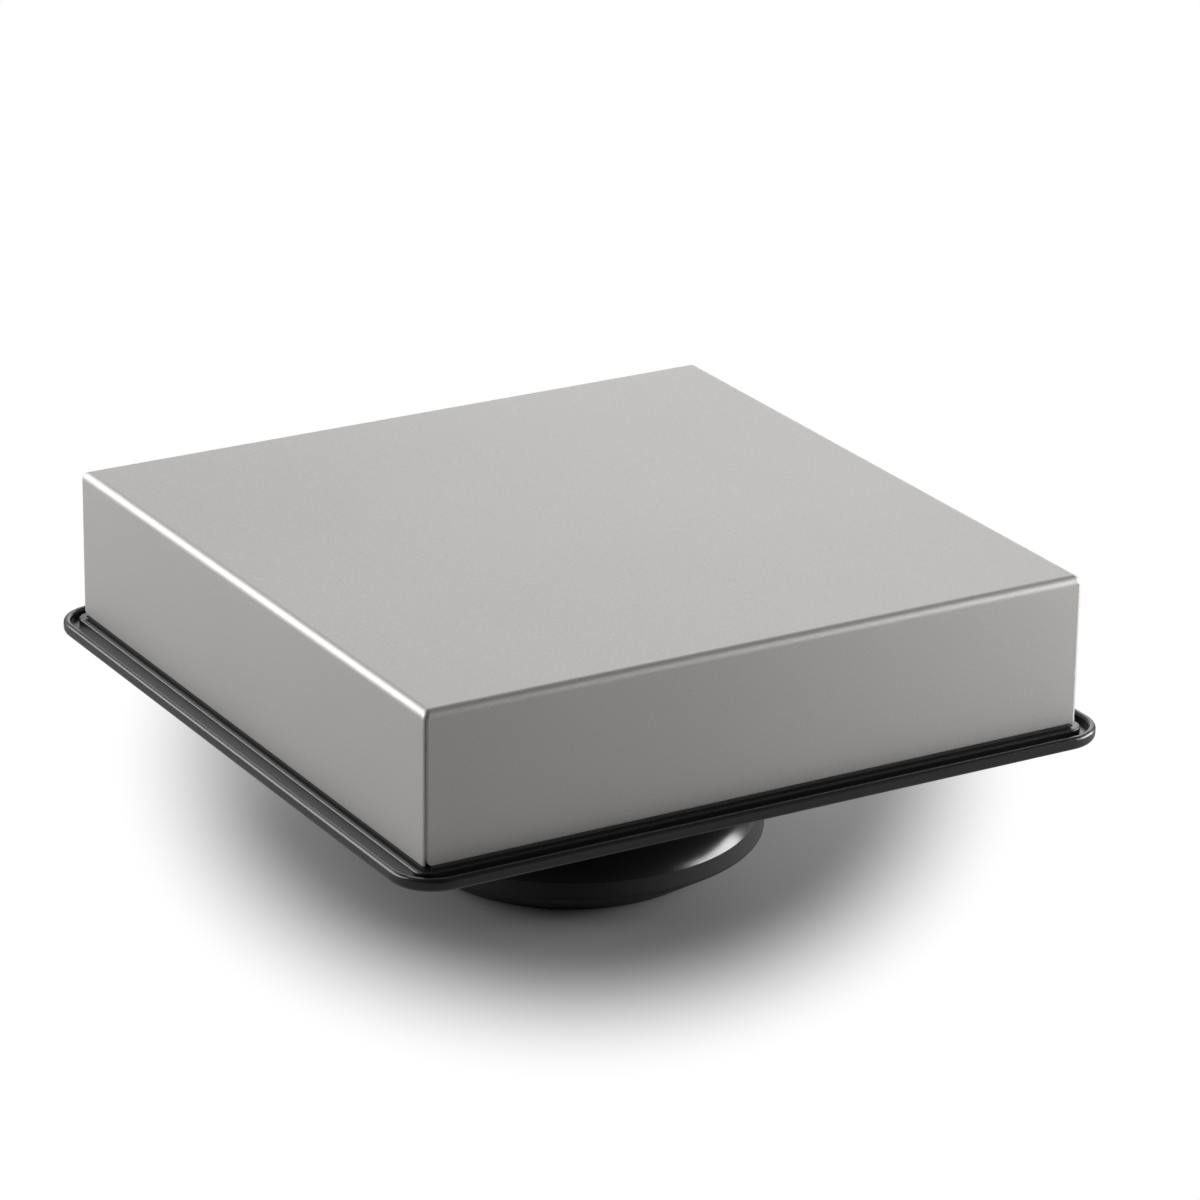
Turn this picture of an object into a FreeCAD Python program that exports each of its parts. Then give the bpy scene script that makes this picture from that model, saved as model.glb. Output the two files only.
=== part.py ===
"""Mesh wifi node: a square metal cover on a rimmed tray, carried by a round pedestal.

Millimetres. +Z is up, the origin is the middle of the footprint on the table, the
front faces -Y and the sockets face +Y. Each function makes one sub-part, and the
table at the end writes each to parts/NODE.step.
"""
import FreeCAD
import Part
import math
import os

V = FreeCAD.Vector

# ---- modelling aids ----------------------------------------------------------

# How far a cutter runs past what it cuts, how far fused pieces run into each
# other, and the largest difference between two equal lengths
OVER = 1.0
MERGE = 0.1
TINY = 1e-5

# ---- driving dimensions ------------------------------------------------------

# Cover: one folded and welded sheet box, open underneath
BODY_SIDE = 130.0
COVER_HEIGHT = 27.6
SHEET = 1.0
COVER_BEND_R = 1.5
COVER_CORNER_R = 0.8
COVER_EDGE_R = 0.25
COVER_INNER_R = 0.5
RELIEF_R = 1.7
RELIEF_INSET = 0.35
SEAM_W = 0.08
SEAM_DEPTH = 0.05
SEAM_INSET = 0.25
REVEAL = 0.6

# Tray: ledge under the cover, channel round it, rounded lip at the edge
STAND_HEIGHT = 32.75
TRAY_FLOOR = 1.5
CHANNEL_FLOOR = 1.1
LEDGE_HEIGHT = 2.35
LEDGE_OUT = 1.35
LEDGE_IN = 4.2
LEDGE_IN_R = 1.0
LEDGE_R = 2.8
LEDGE_EDGE_R = 0.3
LIP_HEIGHT = 2.45
LIP_OUT = 4.8
LIP_T = 1.4
LIP_TOP_R = 0.65
LIP_FOOT_R = 1.0
LIP_CORNER_R = 8.0
LOCATOR_T = 1.0
LOCATOR_H = 3.0
LOCATOR_CLEAR = 0.3
LOCATOR_R = 1.6
LOCATOR_IN_R = 0.6
COLLAR_T = 1.6
COLLAR_H = 1.2

# Gasket between the cover's edge and the ledge
GASKET_INSET = 0.25
GASKET_DEPTH = 0.7
GASKET_CLEAR = 0.05
GASKET_R = 0.6

# Vents in the tray floor
VENT_COUNT = 20
VENT_W = 2.0
VENT_L = 10.0
VENT_RING_R = 38.0
VENT_END_R = 0.98
VENT_KEEP_OUT = 3.0

# Pedestal: neck, and a foot with a crowned rim
NECK_R = 25.0
NECK_WALL = 2.0
NECK_FILLET = 1.6
FOOT_R = 34.4
FOOT_TOP_FLAT_R = 27.0
FOOT_CROWN = 3.8
FOOT_WALL = 2.2
FLAT_DEPTH = 8.0
BOSS_R = 3.0
BOSS_EMBED = 0.2
BACK_WALL_IN = 0.5
FLAT_MARGIN = 0.8
FRONT_ANGLE = 26.0
PORT_BOSS_R = 2.3
PORT_BOSS_H = 9.0
PORT_RIB_T = 2.0

# Rubber base under the foot
RUBBER_HEIGHT = 8.6
RUBBER_BULGE_R = 36.0
RUBBER_BULGE_Z = 6.1
RUBBER_REST_R = 26.4
RUBBER_EDGE_R = 0.8
RUBBER_RECESS_R = 15.0
RUBBER_RECESS_DEPTH = 0.6
PLATE_T = 2.0
PLATE_CLEAR = 0.25

# Screws: radius, head radius, head height, length under the head
M3_R = 1.5
M3_HEAD_R = 2.8
M3_HEAD_H = 2.0
M25_R = 1.25
M25_HEAD_R = 2.3
M25_HEAD_H = 1.6
COVER_SCREW_L = 9.0
TRAY_SCREW_L = 8.0
PLATE_SCREW_L = 7.0
BOARD_SCREW_L = 6.0
PORT_SCREW_L = 5.5
SINK_SCREW_L = 5.5
HOLE_CLEAR = 0.2
THREAD_CLEAR = 0.05
DRIVE_R = 1.3
DRIVE_W = 0.6
DRIVE_DEPTH = 1.0

# Cover standoffs and the tray bosses under them
STANDOFF_R = 3.0
STANDOFF_IN = 8.0
COVER_BOSS_R = 4.4
COVER_BOSS_H = 5.0
COVER_BOSS_SEAT = 2.4

# Main board
BOARD_IN = 13.5
BOARD_T = 1.6
BOARD_POST_H = 6.0
BOARD_POST_R = 3.0
BOARD_POST_IN = 5.0
BOARD_R = 3.0

# Heat sink over the processor and the radio cans
SINK_X = 76.0
SINK_Y = 60.0
SINK_AT_Y = 8.0
SINK_GAP = 2.2
SINK_BASE = 2.5
SINK_FIN_T = 1.2
SINK_FIN_COUNT = 13
SINK_TOP_GAP = 3.0
SINK_LEG_R = 2.6
SINK_LEG_IN = 4.0
SINK_HOLE_SPARE = 0.6
SOC_SIDE = 19.0
SOC_H = 1.4
SOC_BASE_H = 0.63
SOC_LID_IN = 2.0
CAN_X = 24.0
CAN_Y = 30.0
CAN_H = 1.7
CAN_T = 0.25
CAN_AT_X = 23.0
CAN_HOLE_R = 0.6
CAN_HOLE_IN = 2.5
CAN_HOLE_PITCH = 4.0
CAN_HOLE_COUNT = 7
RADIO_SIDE = 12.0
RADIO_H = 0.9
PAD_X = 16.0
PAD_Y = 20.0
RAM_X = 13.0
RAM_Y = 9.0
RAM_H = 1.0
RAM_GAP = 1.5
RAM_AT_X = 8.0

# Capacitors and coils in a row near the board's front edge
POWER_ROW_IN = 12.0
POWER_ROW_PITCH = 9.0
POWER_ROW_X = -18.0
CAPACITOR_COUNT = 3
CAPACITOR_R = 3.15
CAPACITOR_H = 8.0
COIL_COUNT = 2
COIL_AT_X = 11.0
COIL_HALF = 3.5
COIL_R = 0.8
COIL_H = 4.2

# Antennas: one flat strip along each side of the tray
ANT_L = 44.0
ANT_W = 6.0
ANT_T = 0.8
ANT_LIFT = 1.0
ANT_IN = 7.6
PEG_IN = 4.0
PEG_X = 4.0
LEAD_R = 0.6
PLUG_R = 1.4
PLUG_H = 1.8
PLUG_AT_X = 33.0
PLUG_FROM_EDGE = 5.0
LEAD_START_IN = 7.0
LEAD_STRAIGHT = 1.0
LEAD_SWING_X = 6.0
LEAD_SWING_UP = 2.6
LEAD_EDGE_X = 0.6
LEAD_EDGE_OUT = 2.4
LEAD_EDGE_UP = 1.1
LEAD_LAND_IN = 1.2
LEAD_GAP = 0.03

# Riser between the two boards
RISER_COLUMNS = 8
RISER_PITCH = 2.0
RISER_PIN = 0.6
RISER_SOCKET_H = 8.5
RISER_SOCKET_Y = 4.6
RISER_AT_Y = -7.0
RISER_CLEAR = 2.0
RISER_END = 0.3
RISER_PIN_CLEAR = 0.05
RISER_PIN_SHORT = 0.5
COMB_H = 2.5

# Port board and its sockets, in the neck
PORT_BOARD_Z = 13.6
PORT_BOARD_T = 1.5
PORT_BOARD_HALF_X = 16.7
PORT_BOARD_FRONT = 14.6
PORT_BOARD_BACK_GAP = 0.4
PORT_BOARD_GAP = 0.4
PORT_COLUMN_GAP = 0.3
PORT_FIX_IN = 2.4
JACK_X = 15.9
JACK_Y = 18.6
JACK_H = 13.3
JACK_AT_X = -8.2
JACK_T = 0.4
JACK_MOUTH_X = 11.9
JACK_MOUTH_H = 7.0
JACK_MOUTH_DEPTH = 13.0
JACK_TAB_X = 4.0
JACK_TAB_H = 2.2
JACK_FLOOR = 2.4
JACK_LINING = 0.3
JACK_FACE_SPARE = 0.5
CONTACT_COUNT = 8
CONTACT_PITCH = 1.02
CONTACT_WIRE = 0.35
CONTACT_FROM_FACE = 2.2
CONTACT_RUN = 8.0
CONTACT_DROP = 2.4
CONTACT_SLANT = 1.6
DC_X = 9.0
DC_Y = 13.5
DC_H = 10.6
DC_AT_X = 5.3
DC_BORE_R = 3.2
DC_BORE_DEPTH = 9.8
DC_PIN_R = 1.0
DC_AXIS_H = 6.3
DC_PIN_SHORT = 0.8
DC_TIP_R = 0.7
FACE_RECESS = 0.3
PLATE_MARGIN = 0.75
PORT_PLATE_HALF_X = 17.0
PORT_PLATE_RISE = 0.3
WINDOW_CLEAR = 0.1

# Pair button, its switch, and the reset switch
CONTROL_AT_X = 13.4
BUTTON_R = 2.3
BUTTON_FLANGE_R = 2.9
BUTTON_FLANGE_T = 0.8
BUTTON_STEM_R = 1.4
BUTTON_PROUD = 0.8
BUTTON_Z = 4.4
BUTTON_GAP = 0.12
BUTTON_EDGE_R = 0.4
BUTTON_STEM_L = 1.6
SWITCH_X = 6.0
SWITCH_Y = 4.2
SWITCH_H = 6.4
SWITCH_PLUNGER_R = 1.2
SWITCH_PLUNGER_OUT = 1.4
SWITCH_TRAVEL = 0.3
SWITCH_SPARE = 0.2
SWITCH_SOCKET = 2.0
SWITCH_WALL_GAP = 0.3
PLUNGER_CLEAR = 0.08
BUTTON_CLEAR = 0.1
PIPE_R = 1.0
PIPE_RISE = 11.4
PIPE_GAP = 0.1
PIPE_PROUD = 0.2
LED_SIDE = 1.8
LED_H = 1.0
LED_FROM_BACK = 11.0
RESET_X = 34.0
RESET_Y = 22.0
RESET_HOLE_R = 1.0
RESET_BODY = 6.0
RESET_BODY_H = 3.4
RESET_SOCKET = 1.6
RESET_PLUNGER_R = 1.6
RESET_PLUNGER_OUT = 1.5

# ---- values worked out from them ---------------------------------------------

HALF = BODY_SIDE / 2
TRAY_TOP = STAND_HEIGHT + TRAY_FLOOR
LEDGE_TOP = STAND_HEIGHT + LEDGE_HEIGHT
COVER_Z = LEDGE_TOP + REVEAL
COVER_TOP = COVER_Z + COVER_HEIGHT
COVER_INNER_TOP = COVER_TOP - SHEET
CHANNEL_TOP = STAND_HEIGHT + CHANNEL_FLOOR
LIP_TOP = STAND_HEIGHT + LIP_HEIGHT
GASKET_OUT = HALF - GASKET_INSET
GASKET_IN = HALF - SHEET - GASKET_CLEAR
LOCATOR_OUT = HALF - SHEET - LOCATOR_CLEAR
COVER_FIX = HALF - STANDOFF_IN
COVER_BOSS_TOP = TRAY_TOP + COVER_BOSS_H
BOARD_HALF = HALF - BOARD_IN
BOARD_Z = TRAY_TOP + BOARD_POST_H
BOARD_TOP = BOARD_Z + BOARD_T
BOARD_FIX = BOARD_HALF - BOARD_POST_IN
SINK_Z = BOARD_TOP + SINK_GAP
SINK_TOP = COVER_INNER_TOP - SINK_TOP_GAP
ANT_AT = HALF - ANT_IN
ANT_Z = TRAY_TOP + ANT_LIFT
NECK_IN_R = NECK_R - NECK_WALL
FLAT_Y = NECK_R - FLAT_DEPTH
FOOT_TOP = RUBBER_HEIGHT + FOOT_CROWN
PORT_TOP = PORT_BOARD_Z + PORT_BOARD_T
PORT_FACE_Y = FLAT_Y - FACE_RECESS
PORT_PLATE_BACK = FLAT_Y - NECK_WALL
PORT_PLATE_LOW = PORT_BOARD_Z + PORT_PLATE_RISE
PORT_PLATE_HIGH = PORT_TOP + JACK_H + PLATE_MARGIN
BUTTON_AXIS_Z = PORT_TOP + BUTTON_Z
SWITCH_FRONT = PORT_PLATE_BACK - BUTTON_GAP - BUTTON_FLANGE_T - BUTTON_STEM_L
PIPE_Z = PORT_TOP + PIPE_RISE
DC_AXIS_Z = PORT_TOP + DC_AXIS_H
JACK_MOUTH_Z = PORT_TOP + JACK_FLOOR
BOSS_IN_R = NECK_IN_R + BOSS_EMBED - BOSS_R
PLATE_Z = RUBBER_HEIGHT + FOOT_CROWN - FOOT_WALL - PLATE_T
PLATE_R = FOOT_R - FOOT_WALL - PLATE_CLEAR

CORNERS = [(-1, -1), (1, -1), (1, 1), (-1, 1)]
# Columns in the neck: two at its sides and two at its front
SIDE_COLUMNS = [(s * BOSS_IN_R, 0.0) for s in (-1, 1)]
FRONT_X = BOSS_IN_R * math.sin(math.radians(FRONT_ANGLE))
FRONT_Y = -BOSS_IN_R * math.cos(math.radians(FRONT_ANGLE))
COLUMNS = SIDE_COLUMNS + [(s * FRONT_X, FRONT_Y) for s in (-1, 1)]
PORT_FIX_Y = -PORT_BOARD_FRONT + PORT_FIX_IN


# ---- helpers -----------------------------------------------------------------

def box(x0, x1, y0, y1, z0, z1):
    """A box between its low and high corners."""
    return Part.makeBox(x1 - x0, y1 - y0, z1 - z0, V(x0, y0, z0))


def rod(r, z0, z1, x=0.0, y=0.0):
    """An upright cylinder."""
    return Part.makeCylinder(r, z1 - z0, V(x, y, z0))


def rod_y(r, y0, y1, x, z):
    """A cylinder along +Y."""
    return Part.makeCylinder(r, y1 - y0, V(x, y0, z), V(0, 1, 0))


def rounded(half_x, half_y, r, z0, z1):
    """An upright prism on a rectangle with rounded corners, centred on the axis."""
    solid = box(-half_x, half_x, -half_y, half_y, z0, z1)
    upright = [e for e in solid.Edges if abs(e.Vertexes[0].Z - e.Vertexes[1].Z) > TINY]
    return solid.makeFillet(r, upright)


def ring(out, inner, r_out, r_in, z0, z1):
    """A square ring with rounded corners."""
    return rounded(out, out, r_out, z0, z1).cut(
        rounded(inner, inner, r_in, z0 - OVER, z1 + OVER))


def fuse(first, others):
    """One solid from several that touch."""
    joined = first.multiFuse(list(others))
    return joined.removeSplitter()


def cut(solid, tools):
    """The solid less each tool."""
    return solid.cut(Part.makeCompound(list(tools)))


def revolve(points, arcs=()):
    """A solid of revolution about Z. points are (r, z); arcs maps the index of a
    segment to the middle point that bends it."""
    bends = dict(arcs)
    edges = []
    for i, (a, b) in enumerate(zip(points, points[1:] + points[:1])):
        start, end = V(a[0], 0, a[1]), V(b[0], 0, b[1])
        if i in bends:
            middle = V(bends[i][0], 0, bends[i][1])
            edges.append(Part.Arc(start, middle, end).toShape())
        else:
            edges.append(Part.LineSegment(start, end).toShape())
    face = Part.Face(Part.Wire(edges))
    return face.revolve(V(0, 0, 0), V(0, 0, 1), 360)


def screw(r, head_r, head_h, length, at, down=True):
    """A pan-head screw with a cross recess. at is the seat under the head, and down
    says that the shank points to -Z."""
    shank = rod(r, -length, 0)
    head = rod(head_r, 0, head_h)
    head = head.makeFillet(head_h * 0.45, [e for e in head.Edges
                                           if abs(e.CenterOfMass.z - head_h) < TINY
                                           and e.Length > head_r])
    low = head_h - DRIVE_DEPTH
    slots = [box(-DRIVE_R, DRIVE_R, -DRIVE_W / 2, DRIVE_W / 2, low, head_h + OVER),
             box(-DRIVE_W / 2, DRIVE_W / 2, -DRIVE_R, DRIVE_R, low, head_h + OVER)]
    solid = cut(fuse(head, [shank]), slots)
    if not down:
        solid.rotate(V(0, 0, 0), V(1, 0, 0), 180)
    solid.translate(V(*at))
    return solid


def path(points):
    """A smooth wire: straight runs joined by tangent arcs as large as they allow."""
    edges = []
    start = points[0]
    for before, corner, after in zip(points, points[1:], points[2:]):
        back = (before - corner).normalize()
        ahead = (after - corner).normalize()
        turn = math.pi - back.getAngle(ahead)
        run = 0.45 * min((before - corner).Length, (after - corner).Length)
        radius = run / math.tan(turn / 2)
        enter, leave = corner + back * run, corner + ahead * run
        inward = (back + ahead).normalize()
        middle = corner + inward * (radius / math.cos(turn / 2) - radius)
        edges.append(Part.LineSegment(start, enter).toShape())
        edges.append(Part.Arc(enter, middle, leave).toShape())
        start = leave
    edges.append(Part.LineSegment(start, points[-1]).toShape())
    return Part.Wire(edges)


def tube(points, r):
    """A round lead along a path of points."""
    wire = path(points)
    across = (points[1] - points[0]).normalize()
    profile = Part.Wire([Part.makeCircle(r, points[0], across)])
    return wire.makePipeShell([profile], True, False)


def around(solid, count=4):
    """Copies of a solid turned about Z, one for each side."""
    copies = []
    for k in range(count):
        copy = solid.copy()
        copy.rotate(V(0, 0, 0), V(0, 0, 1), 360.0 / count * k)
        copies.append(copy)
    return copies


# ---- cover and tray ----------------------------------------------------------

def cover_shell():
    """Folded sheet cover: bent top edges, a fine seam down each upright corner, and
    one rounded lower corner on each flap where it meets the next."""
    outer = rounded(HALF, HALF, COVER_CORNER_R, COVER_Z, COVER_TOP)
    top_edges = [e for e in outer.Edges if abs(e.CenterOfMass.z - COVER_TOP) < TINY]
    outer = outer.makeFillet(min(COVER_BEND_R, COVER_HEIGHT / 4), top_edges)
    low_edges = [e for e in outer.Edges if abs(e.CenterOfMass.z - COVER_Z) < TINY]
    outer = outer.makeFillet(min(COVER_EDGE_R, SHEET / 3), low_edges)
    inside = HALF - SHEET
    inner = rounded(inside, inside, COVER_INNER_R, COVER_Z - OVER, COVER_INNER_TOP)
    shell = outer.cut(inner)
    x, z = -HALF + RELIEF_INSET, COVER_Z + RELIEF_R
    notch = box(x, x + RELIEF_R, -HALF - OVER, -inside + SHEET, COVER_Z - OVER, z)
    notch = notch.cut(rod_y(RELIEF_R, -HALF - 2 * OVER, -inside + SHEET + OVER, x + RELIEF_R, z))
    seam = box(-HALF + SEAM_INSET, -HALF + SEAM_INSET + SEAM_W, -HALF - OVER,
               -HALF + SEAM_DEPTH + SEAM_INSET, COVER_Z - OVER, COVER_TOP - COVER_BEND_R)
    return cut(shell, around(notch) + around(seam))


def cover_standoffs():
    """Threaded standoffs clinched under the cover's top, one near each corner."""
    made = []
    for sx, sy in CORNERS:
        post = rod(STANDOFF_R, COVER_BOSS_TOP, COVER_INNER_TOP,
                   sx * COVER_FIX, sy * COVER_FIX)
        thread = rod(M3_R + THREAD_CLEAR, COVER_BOSS_TOP - OVER,
                     COVER_BOSS_TOP + COVER_SCREW_L, sx * COVER_FIX, sy * COVER_FIX)
        made.append(post.cut(thread))
    return Part.makeCompound(made)


def cover_gasket():
    """Foam ring in the ledge's groove, under the cover's edge."""
    return ring(GASKET_OUT, GASKET_IN, GASKET_R, GASKET_R - GASKET_CLEAR,
                LEDGE_TOP - GASKET_DEPTH, COVER_Z)


def tray_pan():
    """Flat pan with an upstanding lip at its edge, rounded at the top and the foot."""
    out, inner = HALF + LIP_OUT, HALF + LIP_OUT - LIP_T
    inner_r = LIP_CORNER_R - LIP_T
    pan = rounded(out, out, LIP_CORNER_R, STAND_HEIGHT, LIP_TOP)
    pan = pan.cut(rounded(inner, inner, inner_r, CHANNEL_TOP, LIP_TOP + OVER))
    top = [e for e in pan.Edges if abs(e.CenterOfMass.z - LIP_TOP) < TINY]
    pan = pan.makeFillet(LIP_TOP_R, top)
    foot = [e for e in pan.Edges if abs(e.CenterOfMass.z - STAND_HEIGHT) < TINY]
    return pan.makeFillet(LIP_FOOT_R, foot)


def tray_ledge():
    """Raised ledge under the cover's edge, with a rounded shoulder."""
    out = HALF + LEDGE_OUT
    ledge = rounded(out, out, LEDGE_R, STAND_HEIGHT + CHANNEL_FLOOR / 2, LEDGE_TOP)
    shoulder = [e for e in ledge.Edges if abs(e.CenterOfMass.z - LEDGE_TOP) < TINY]
    ledge = ledge.makeFillet(LEDGE_EDGE_R, shoulder)
    inner = HALF - LEDGE_IN
    return ledge.cut(rounded(inner, inner, LEDGE_IN_R, STAND_HEIGHT - OVER, LEDGE_TOP + OVER))


def vent_slots():
    """Radial slots round the neck, less the one where the reset hole lies."""
    slot = box(VENT_RING_R - VENT_L / 2, VENT_RING_R + VENT_L / 2,
               -VENT_W / 2, VENT_W / 2, STAND_HEIGHT - OVER, TRAY_TOP + OVER)
    upright = [e for e in slot.Edges if abs(e.Vertexes[0].Z - e.Vertexes[1].Z) > TINY]
    slot = slot.makeFillet(VENT_END_R, upright)
    slot.rotate(V(0, 0, 0), V(0, 0, 1), 180.0 / VENT_COUNT)
    keep_out = rod(RESET_HOLE_R + VENT_KEEP_OUT, STAND_HEIGHT, TRAY_TOP,
                   RESET_X, RESET_Y)
    return [s for s in around(slot, VENT_COUNT) if s.common(keep_out).Volume < TINY]


def base_tray():
    """Moulded tray: pan and lip, ledge, locating wall, bosses and posts."""
    raised = rounded(HALF, HALF, LEDGE_R, STAND_HEIGHT, TRAY_TOP)
    locator = ring(LOCATOR_OUT, LOCATOR_OUT - LOCATOR_T, LOCATOR_R, LOCATOR_IN_R,
                   LEDGE_TOP - MERGE, LEDGE_TOP + LOCATOR_H)
    parts = [raised, tray_ledge(), locator,
             rod(NECK_R + COLLAR_T, STAND_HEIGHT - COLLAR_H, STAND_HEIGHT + MERGE)]
    tools = [ring(GASKET_OUT + GASKET_CLEAR, GASKET_IN - GASKET_CLEAR,
                  GASKET_R, GASKET_R - GASKET_CLEAR,
                  LEDGE_TOP - GASKET_DEPTH, LEDGE_TOP + OVER),
             rod(NECK_R + HOLE_CLEAR, STAND_HEIGHT - COLLAR_H - OVER, STAND_HEIGHT)]
    for sx, sy in CORNERS:
        x, y = sx * COVER_FIX, sy * COVER_FIX
        parts.append(rod(COVER_BOSS_R, STAND_HEIGHT, COVER_BOSS_TOP, x, y))
        tools.append(rod(M3_HEAD_R + HOLE_CLEAR, STAND_HEIGHT - OVER,
                         COVER_BOSS_TOP - COVER_BOSS_SEAT, x, y))
        tools.append(rod(M3_R + HOLE_CLEAR, STAND_HEIGHT, COVER_BOSS_TOP + OVER, x, y))
        x, y = sx * BOARD_FIX, sy * BOARD_FIX
        parts.append(rod(BOARD_POST_R, STAND_HEIGHT, BOARD_Z, x, y))
        tools.append(rod(M25_R + THREAD_CLEAR, BOARD_Z - BOARD_SCREW_L, BOARD_Z + OVER,
                         x, y))
    peg_x = ANT_L / 2 - PEG_IN
    for side in (-1, 1):
        peg = box(side * peg_x - PEG_X / 2, side * peg_x + PEG_X / 2, -ANT_AT - ANT_W / 2,
                  -ANT_AT + ANT_W / 2, TRAY_TOP - MERGE, ANT_Z)
        parts.extend(around(peg))
    for x, y in COLUMNS:
        tools.append(rod(M3_R + HOLE_CLEAR, STAND_HEIGHT - OVER, TRAY_TOP + OVER, x, y))
    half = RISER_COLUMNS * RISER_PITCH / 2 + RISER_CLEAR
    across = RISER_SOCKET_Y / 2 + RISER_CLEAR
    tools.append(box(-half, half, RISER_AT_Y - across, RISER_AT_Y + across,
                     STAND_HEIGHT - OVER, TRAY_TOP + OVER))
    tools.append(rod(RESET_HOLE_R, STAND_HEIGHT - OVER, TRAY_TOP + OVER, RESET_X, RESET_Y))
    return cut(fuse(tray_pan(), parts), tools + vent_slots())


# ---- pedestal ----------------------------------------------------------------

def crown_middle(r_in, r_out, z_top, z_low):
    """The middle of the quarter curve from the foot's flat top down to its rim."""
    share = math.sin(math.radians(45))
    return (r_in + (r_out - r_in) * share, z_low + (z_top - z_low) * share)


def pedestal():
    """Neck and foot in one moulding, open underneath, with screw columns, the port
    board's bosses and a flat at the back for the port plate."""
    fillet_mid = NECK_FILLET * (1 - math.sin(math.radians(45)))
    outer = revolve(
        [(0, RUBBER_HEIGHT), (FOOT_R, RUBBER_HEIGHT), (FOOT_TOP_FLAT_R, FOOT_TOP),
         (NECK_R + NECK_FILLET, FOOT_TOP), (NECK_R, FOOT_TOP + NECK_FILLET),
         (NECK_R, STAND_HEIGHT), (0, STAND_HEIGHT)],
        {1: crown_middle(FOOT_TOP_FLAT_R, FOOT_R, FOOT_TOP, RUBBER_HEIGHT),
         3: (NECK_R + fillet_mid, FOOT_TOP + fillet_mid)})
    inside_r = FOOT_R - FOOT_WALL
    inner = revolve(
        [(0, RUBBER_HEIGHT - OVER), (inside_r, RUBBER_HEIGHT - OVER),
         (inside_r, FOOT_TOP - FOOT_WALL), (NECK_IN_R, FOOT_TOP - FOOT_WALL),
         (NECK_IN_R, STAND_HEIGHT + OVER), (0, STAND_HEIGHT + OVER)])
    back = NECK_R + NECK_FILLET + OVER
    flat = box(-back, back, FLAT_Y, back,
               PORT_PLATE_LOW - FLAT_MARGIN, PORT_PLATE_HIGH + FLAT_MARGIN)
    back_wall = box(-NECK_R, NECK_R, PORT_PLATE_BACK, FLAT_Y,
                    FOOT_TOP - FOOT_WALL, STAND_HEIGHT)
    back_wall = back_wall.common(rod(NECK_R - BACK_WALL_IN, 0, STAND_HEIGHT))
    columns = [rod(BOSS_R, FOOT_TOP - FOOT_WALL, STAND_HEIGHT, x, y)
               for x, y in COLUMNS]
    board_bosses = []
    for side in (-1, 1):
        x = side * FRONT_X
        board_bosses.append(rod(PORT_BOSS_R, PORT_TOP, PORT_TOP + PORT_BOSS_H,
                                x, PORT_FIX_Y))
        board_bosses.append(box(x - PORT_RIB_T / 2, x + PORT_RIB_T / 2, FRONT_Y, PORT_FIX_Y,
                                PORT_TOP, PORT_TOP + PORT_BOSS_H))
    shell = outer.cut(inner)
    solid = fuse(shell, [back_wall] + columns + board_bosses)
    tools = [flat,
             box(-PORT_PLATE_HALF_X - WINDOW_CLEAR, PORT_PLATE_HALF_X + WINDOW_CLEAR,
                 PORT_PLATE_BACK - OVER, back,
                 PORT_PLATE_LOW - WINDOW_CLEAR, PORT_PLATE_HIGH + WINDOW_CLEAR)]
    for x, y in COLUMNS:
        tools.append(rod(M3_R + THREAD_CLEAR, STAND_HEIGHT - TRAY_SCREW_L,
                         STAND_HEIGHT + OVER, x, y))
        tools.append(rod(M3_R + THREAD_CLEAR, PLATE_Z,
                         PLATE_Z + PLATE_T + PLATE_SCREW_L, x, y))
    for side in (-1, 1):
        tools.append(rod(M25_R + THREAD_CLEAR, PORT_TOP - OVER, PORT_TOP + PORT_SCREW_L,
                         side * FRONT_X, PORT_FIX_Y))
    return cut(solid, tools)


def foot_plate():
    """Steel plate that closes the foot and weights it."""
    plate = rod(PLATE_R, PLATE_Z, PLATE_Z + PLATE_T)
    tools = []
    for x, y in COLUMNS:
        tools.append(rod(M3_R + HOLE_CLEAR, PLATE_Z - OVER, PLATE_Z + PLATE_T + OVER, x, y))
    return cut(plate, tools)


def rubber_base():
    """Soft pad under the foot: it bulges past the rim, tapers to its rest face, and
    is hollowed a little in the middle so that only the outer ring touches down."""
    body = revolve(
        [(0, RUBBER_RECESS_DEPTH), (RUBBER_RECESS_R, RUBBER_RECESS_DEPTH),
         (RUBBER_RECESS_R, 0), (RUBBER_REST_R, 0), (RUBBER_BULGE_R, RUBBER_BULGE_Z),
         (FOOT_R, RUBBER_HEIGHT), (FOOT_R - FOOT_WALL, RUBBER_HEIGHT),
         (FOOT_R - FOOT_WALL, PLATE_Z), (0, PLATE_Z)])
    rims = [e for e in body.Edges
            if abs(e.Length - 2 * math.pi * RUBBER_BULGE_R) < TINY
            or abs(e.Length - 2 * math.pi * RUBBER_REST_R) < TINY]
    body = body.makeFillet(RUBBER_EDGE_R, rims)
    pockets = [rod(M3_HEAD_R + HOLE_CLEAR, PLATE_Z - M3_HEAD_H - HOLE_CLEAR,
                   PLATE_Z + OVER, x, y) for x, y in COLUMNS]
    return cut(body, pockets)


# ---- port plate, port board and sockets --------------------------------------

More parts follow.
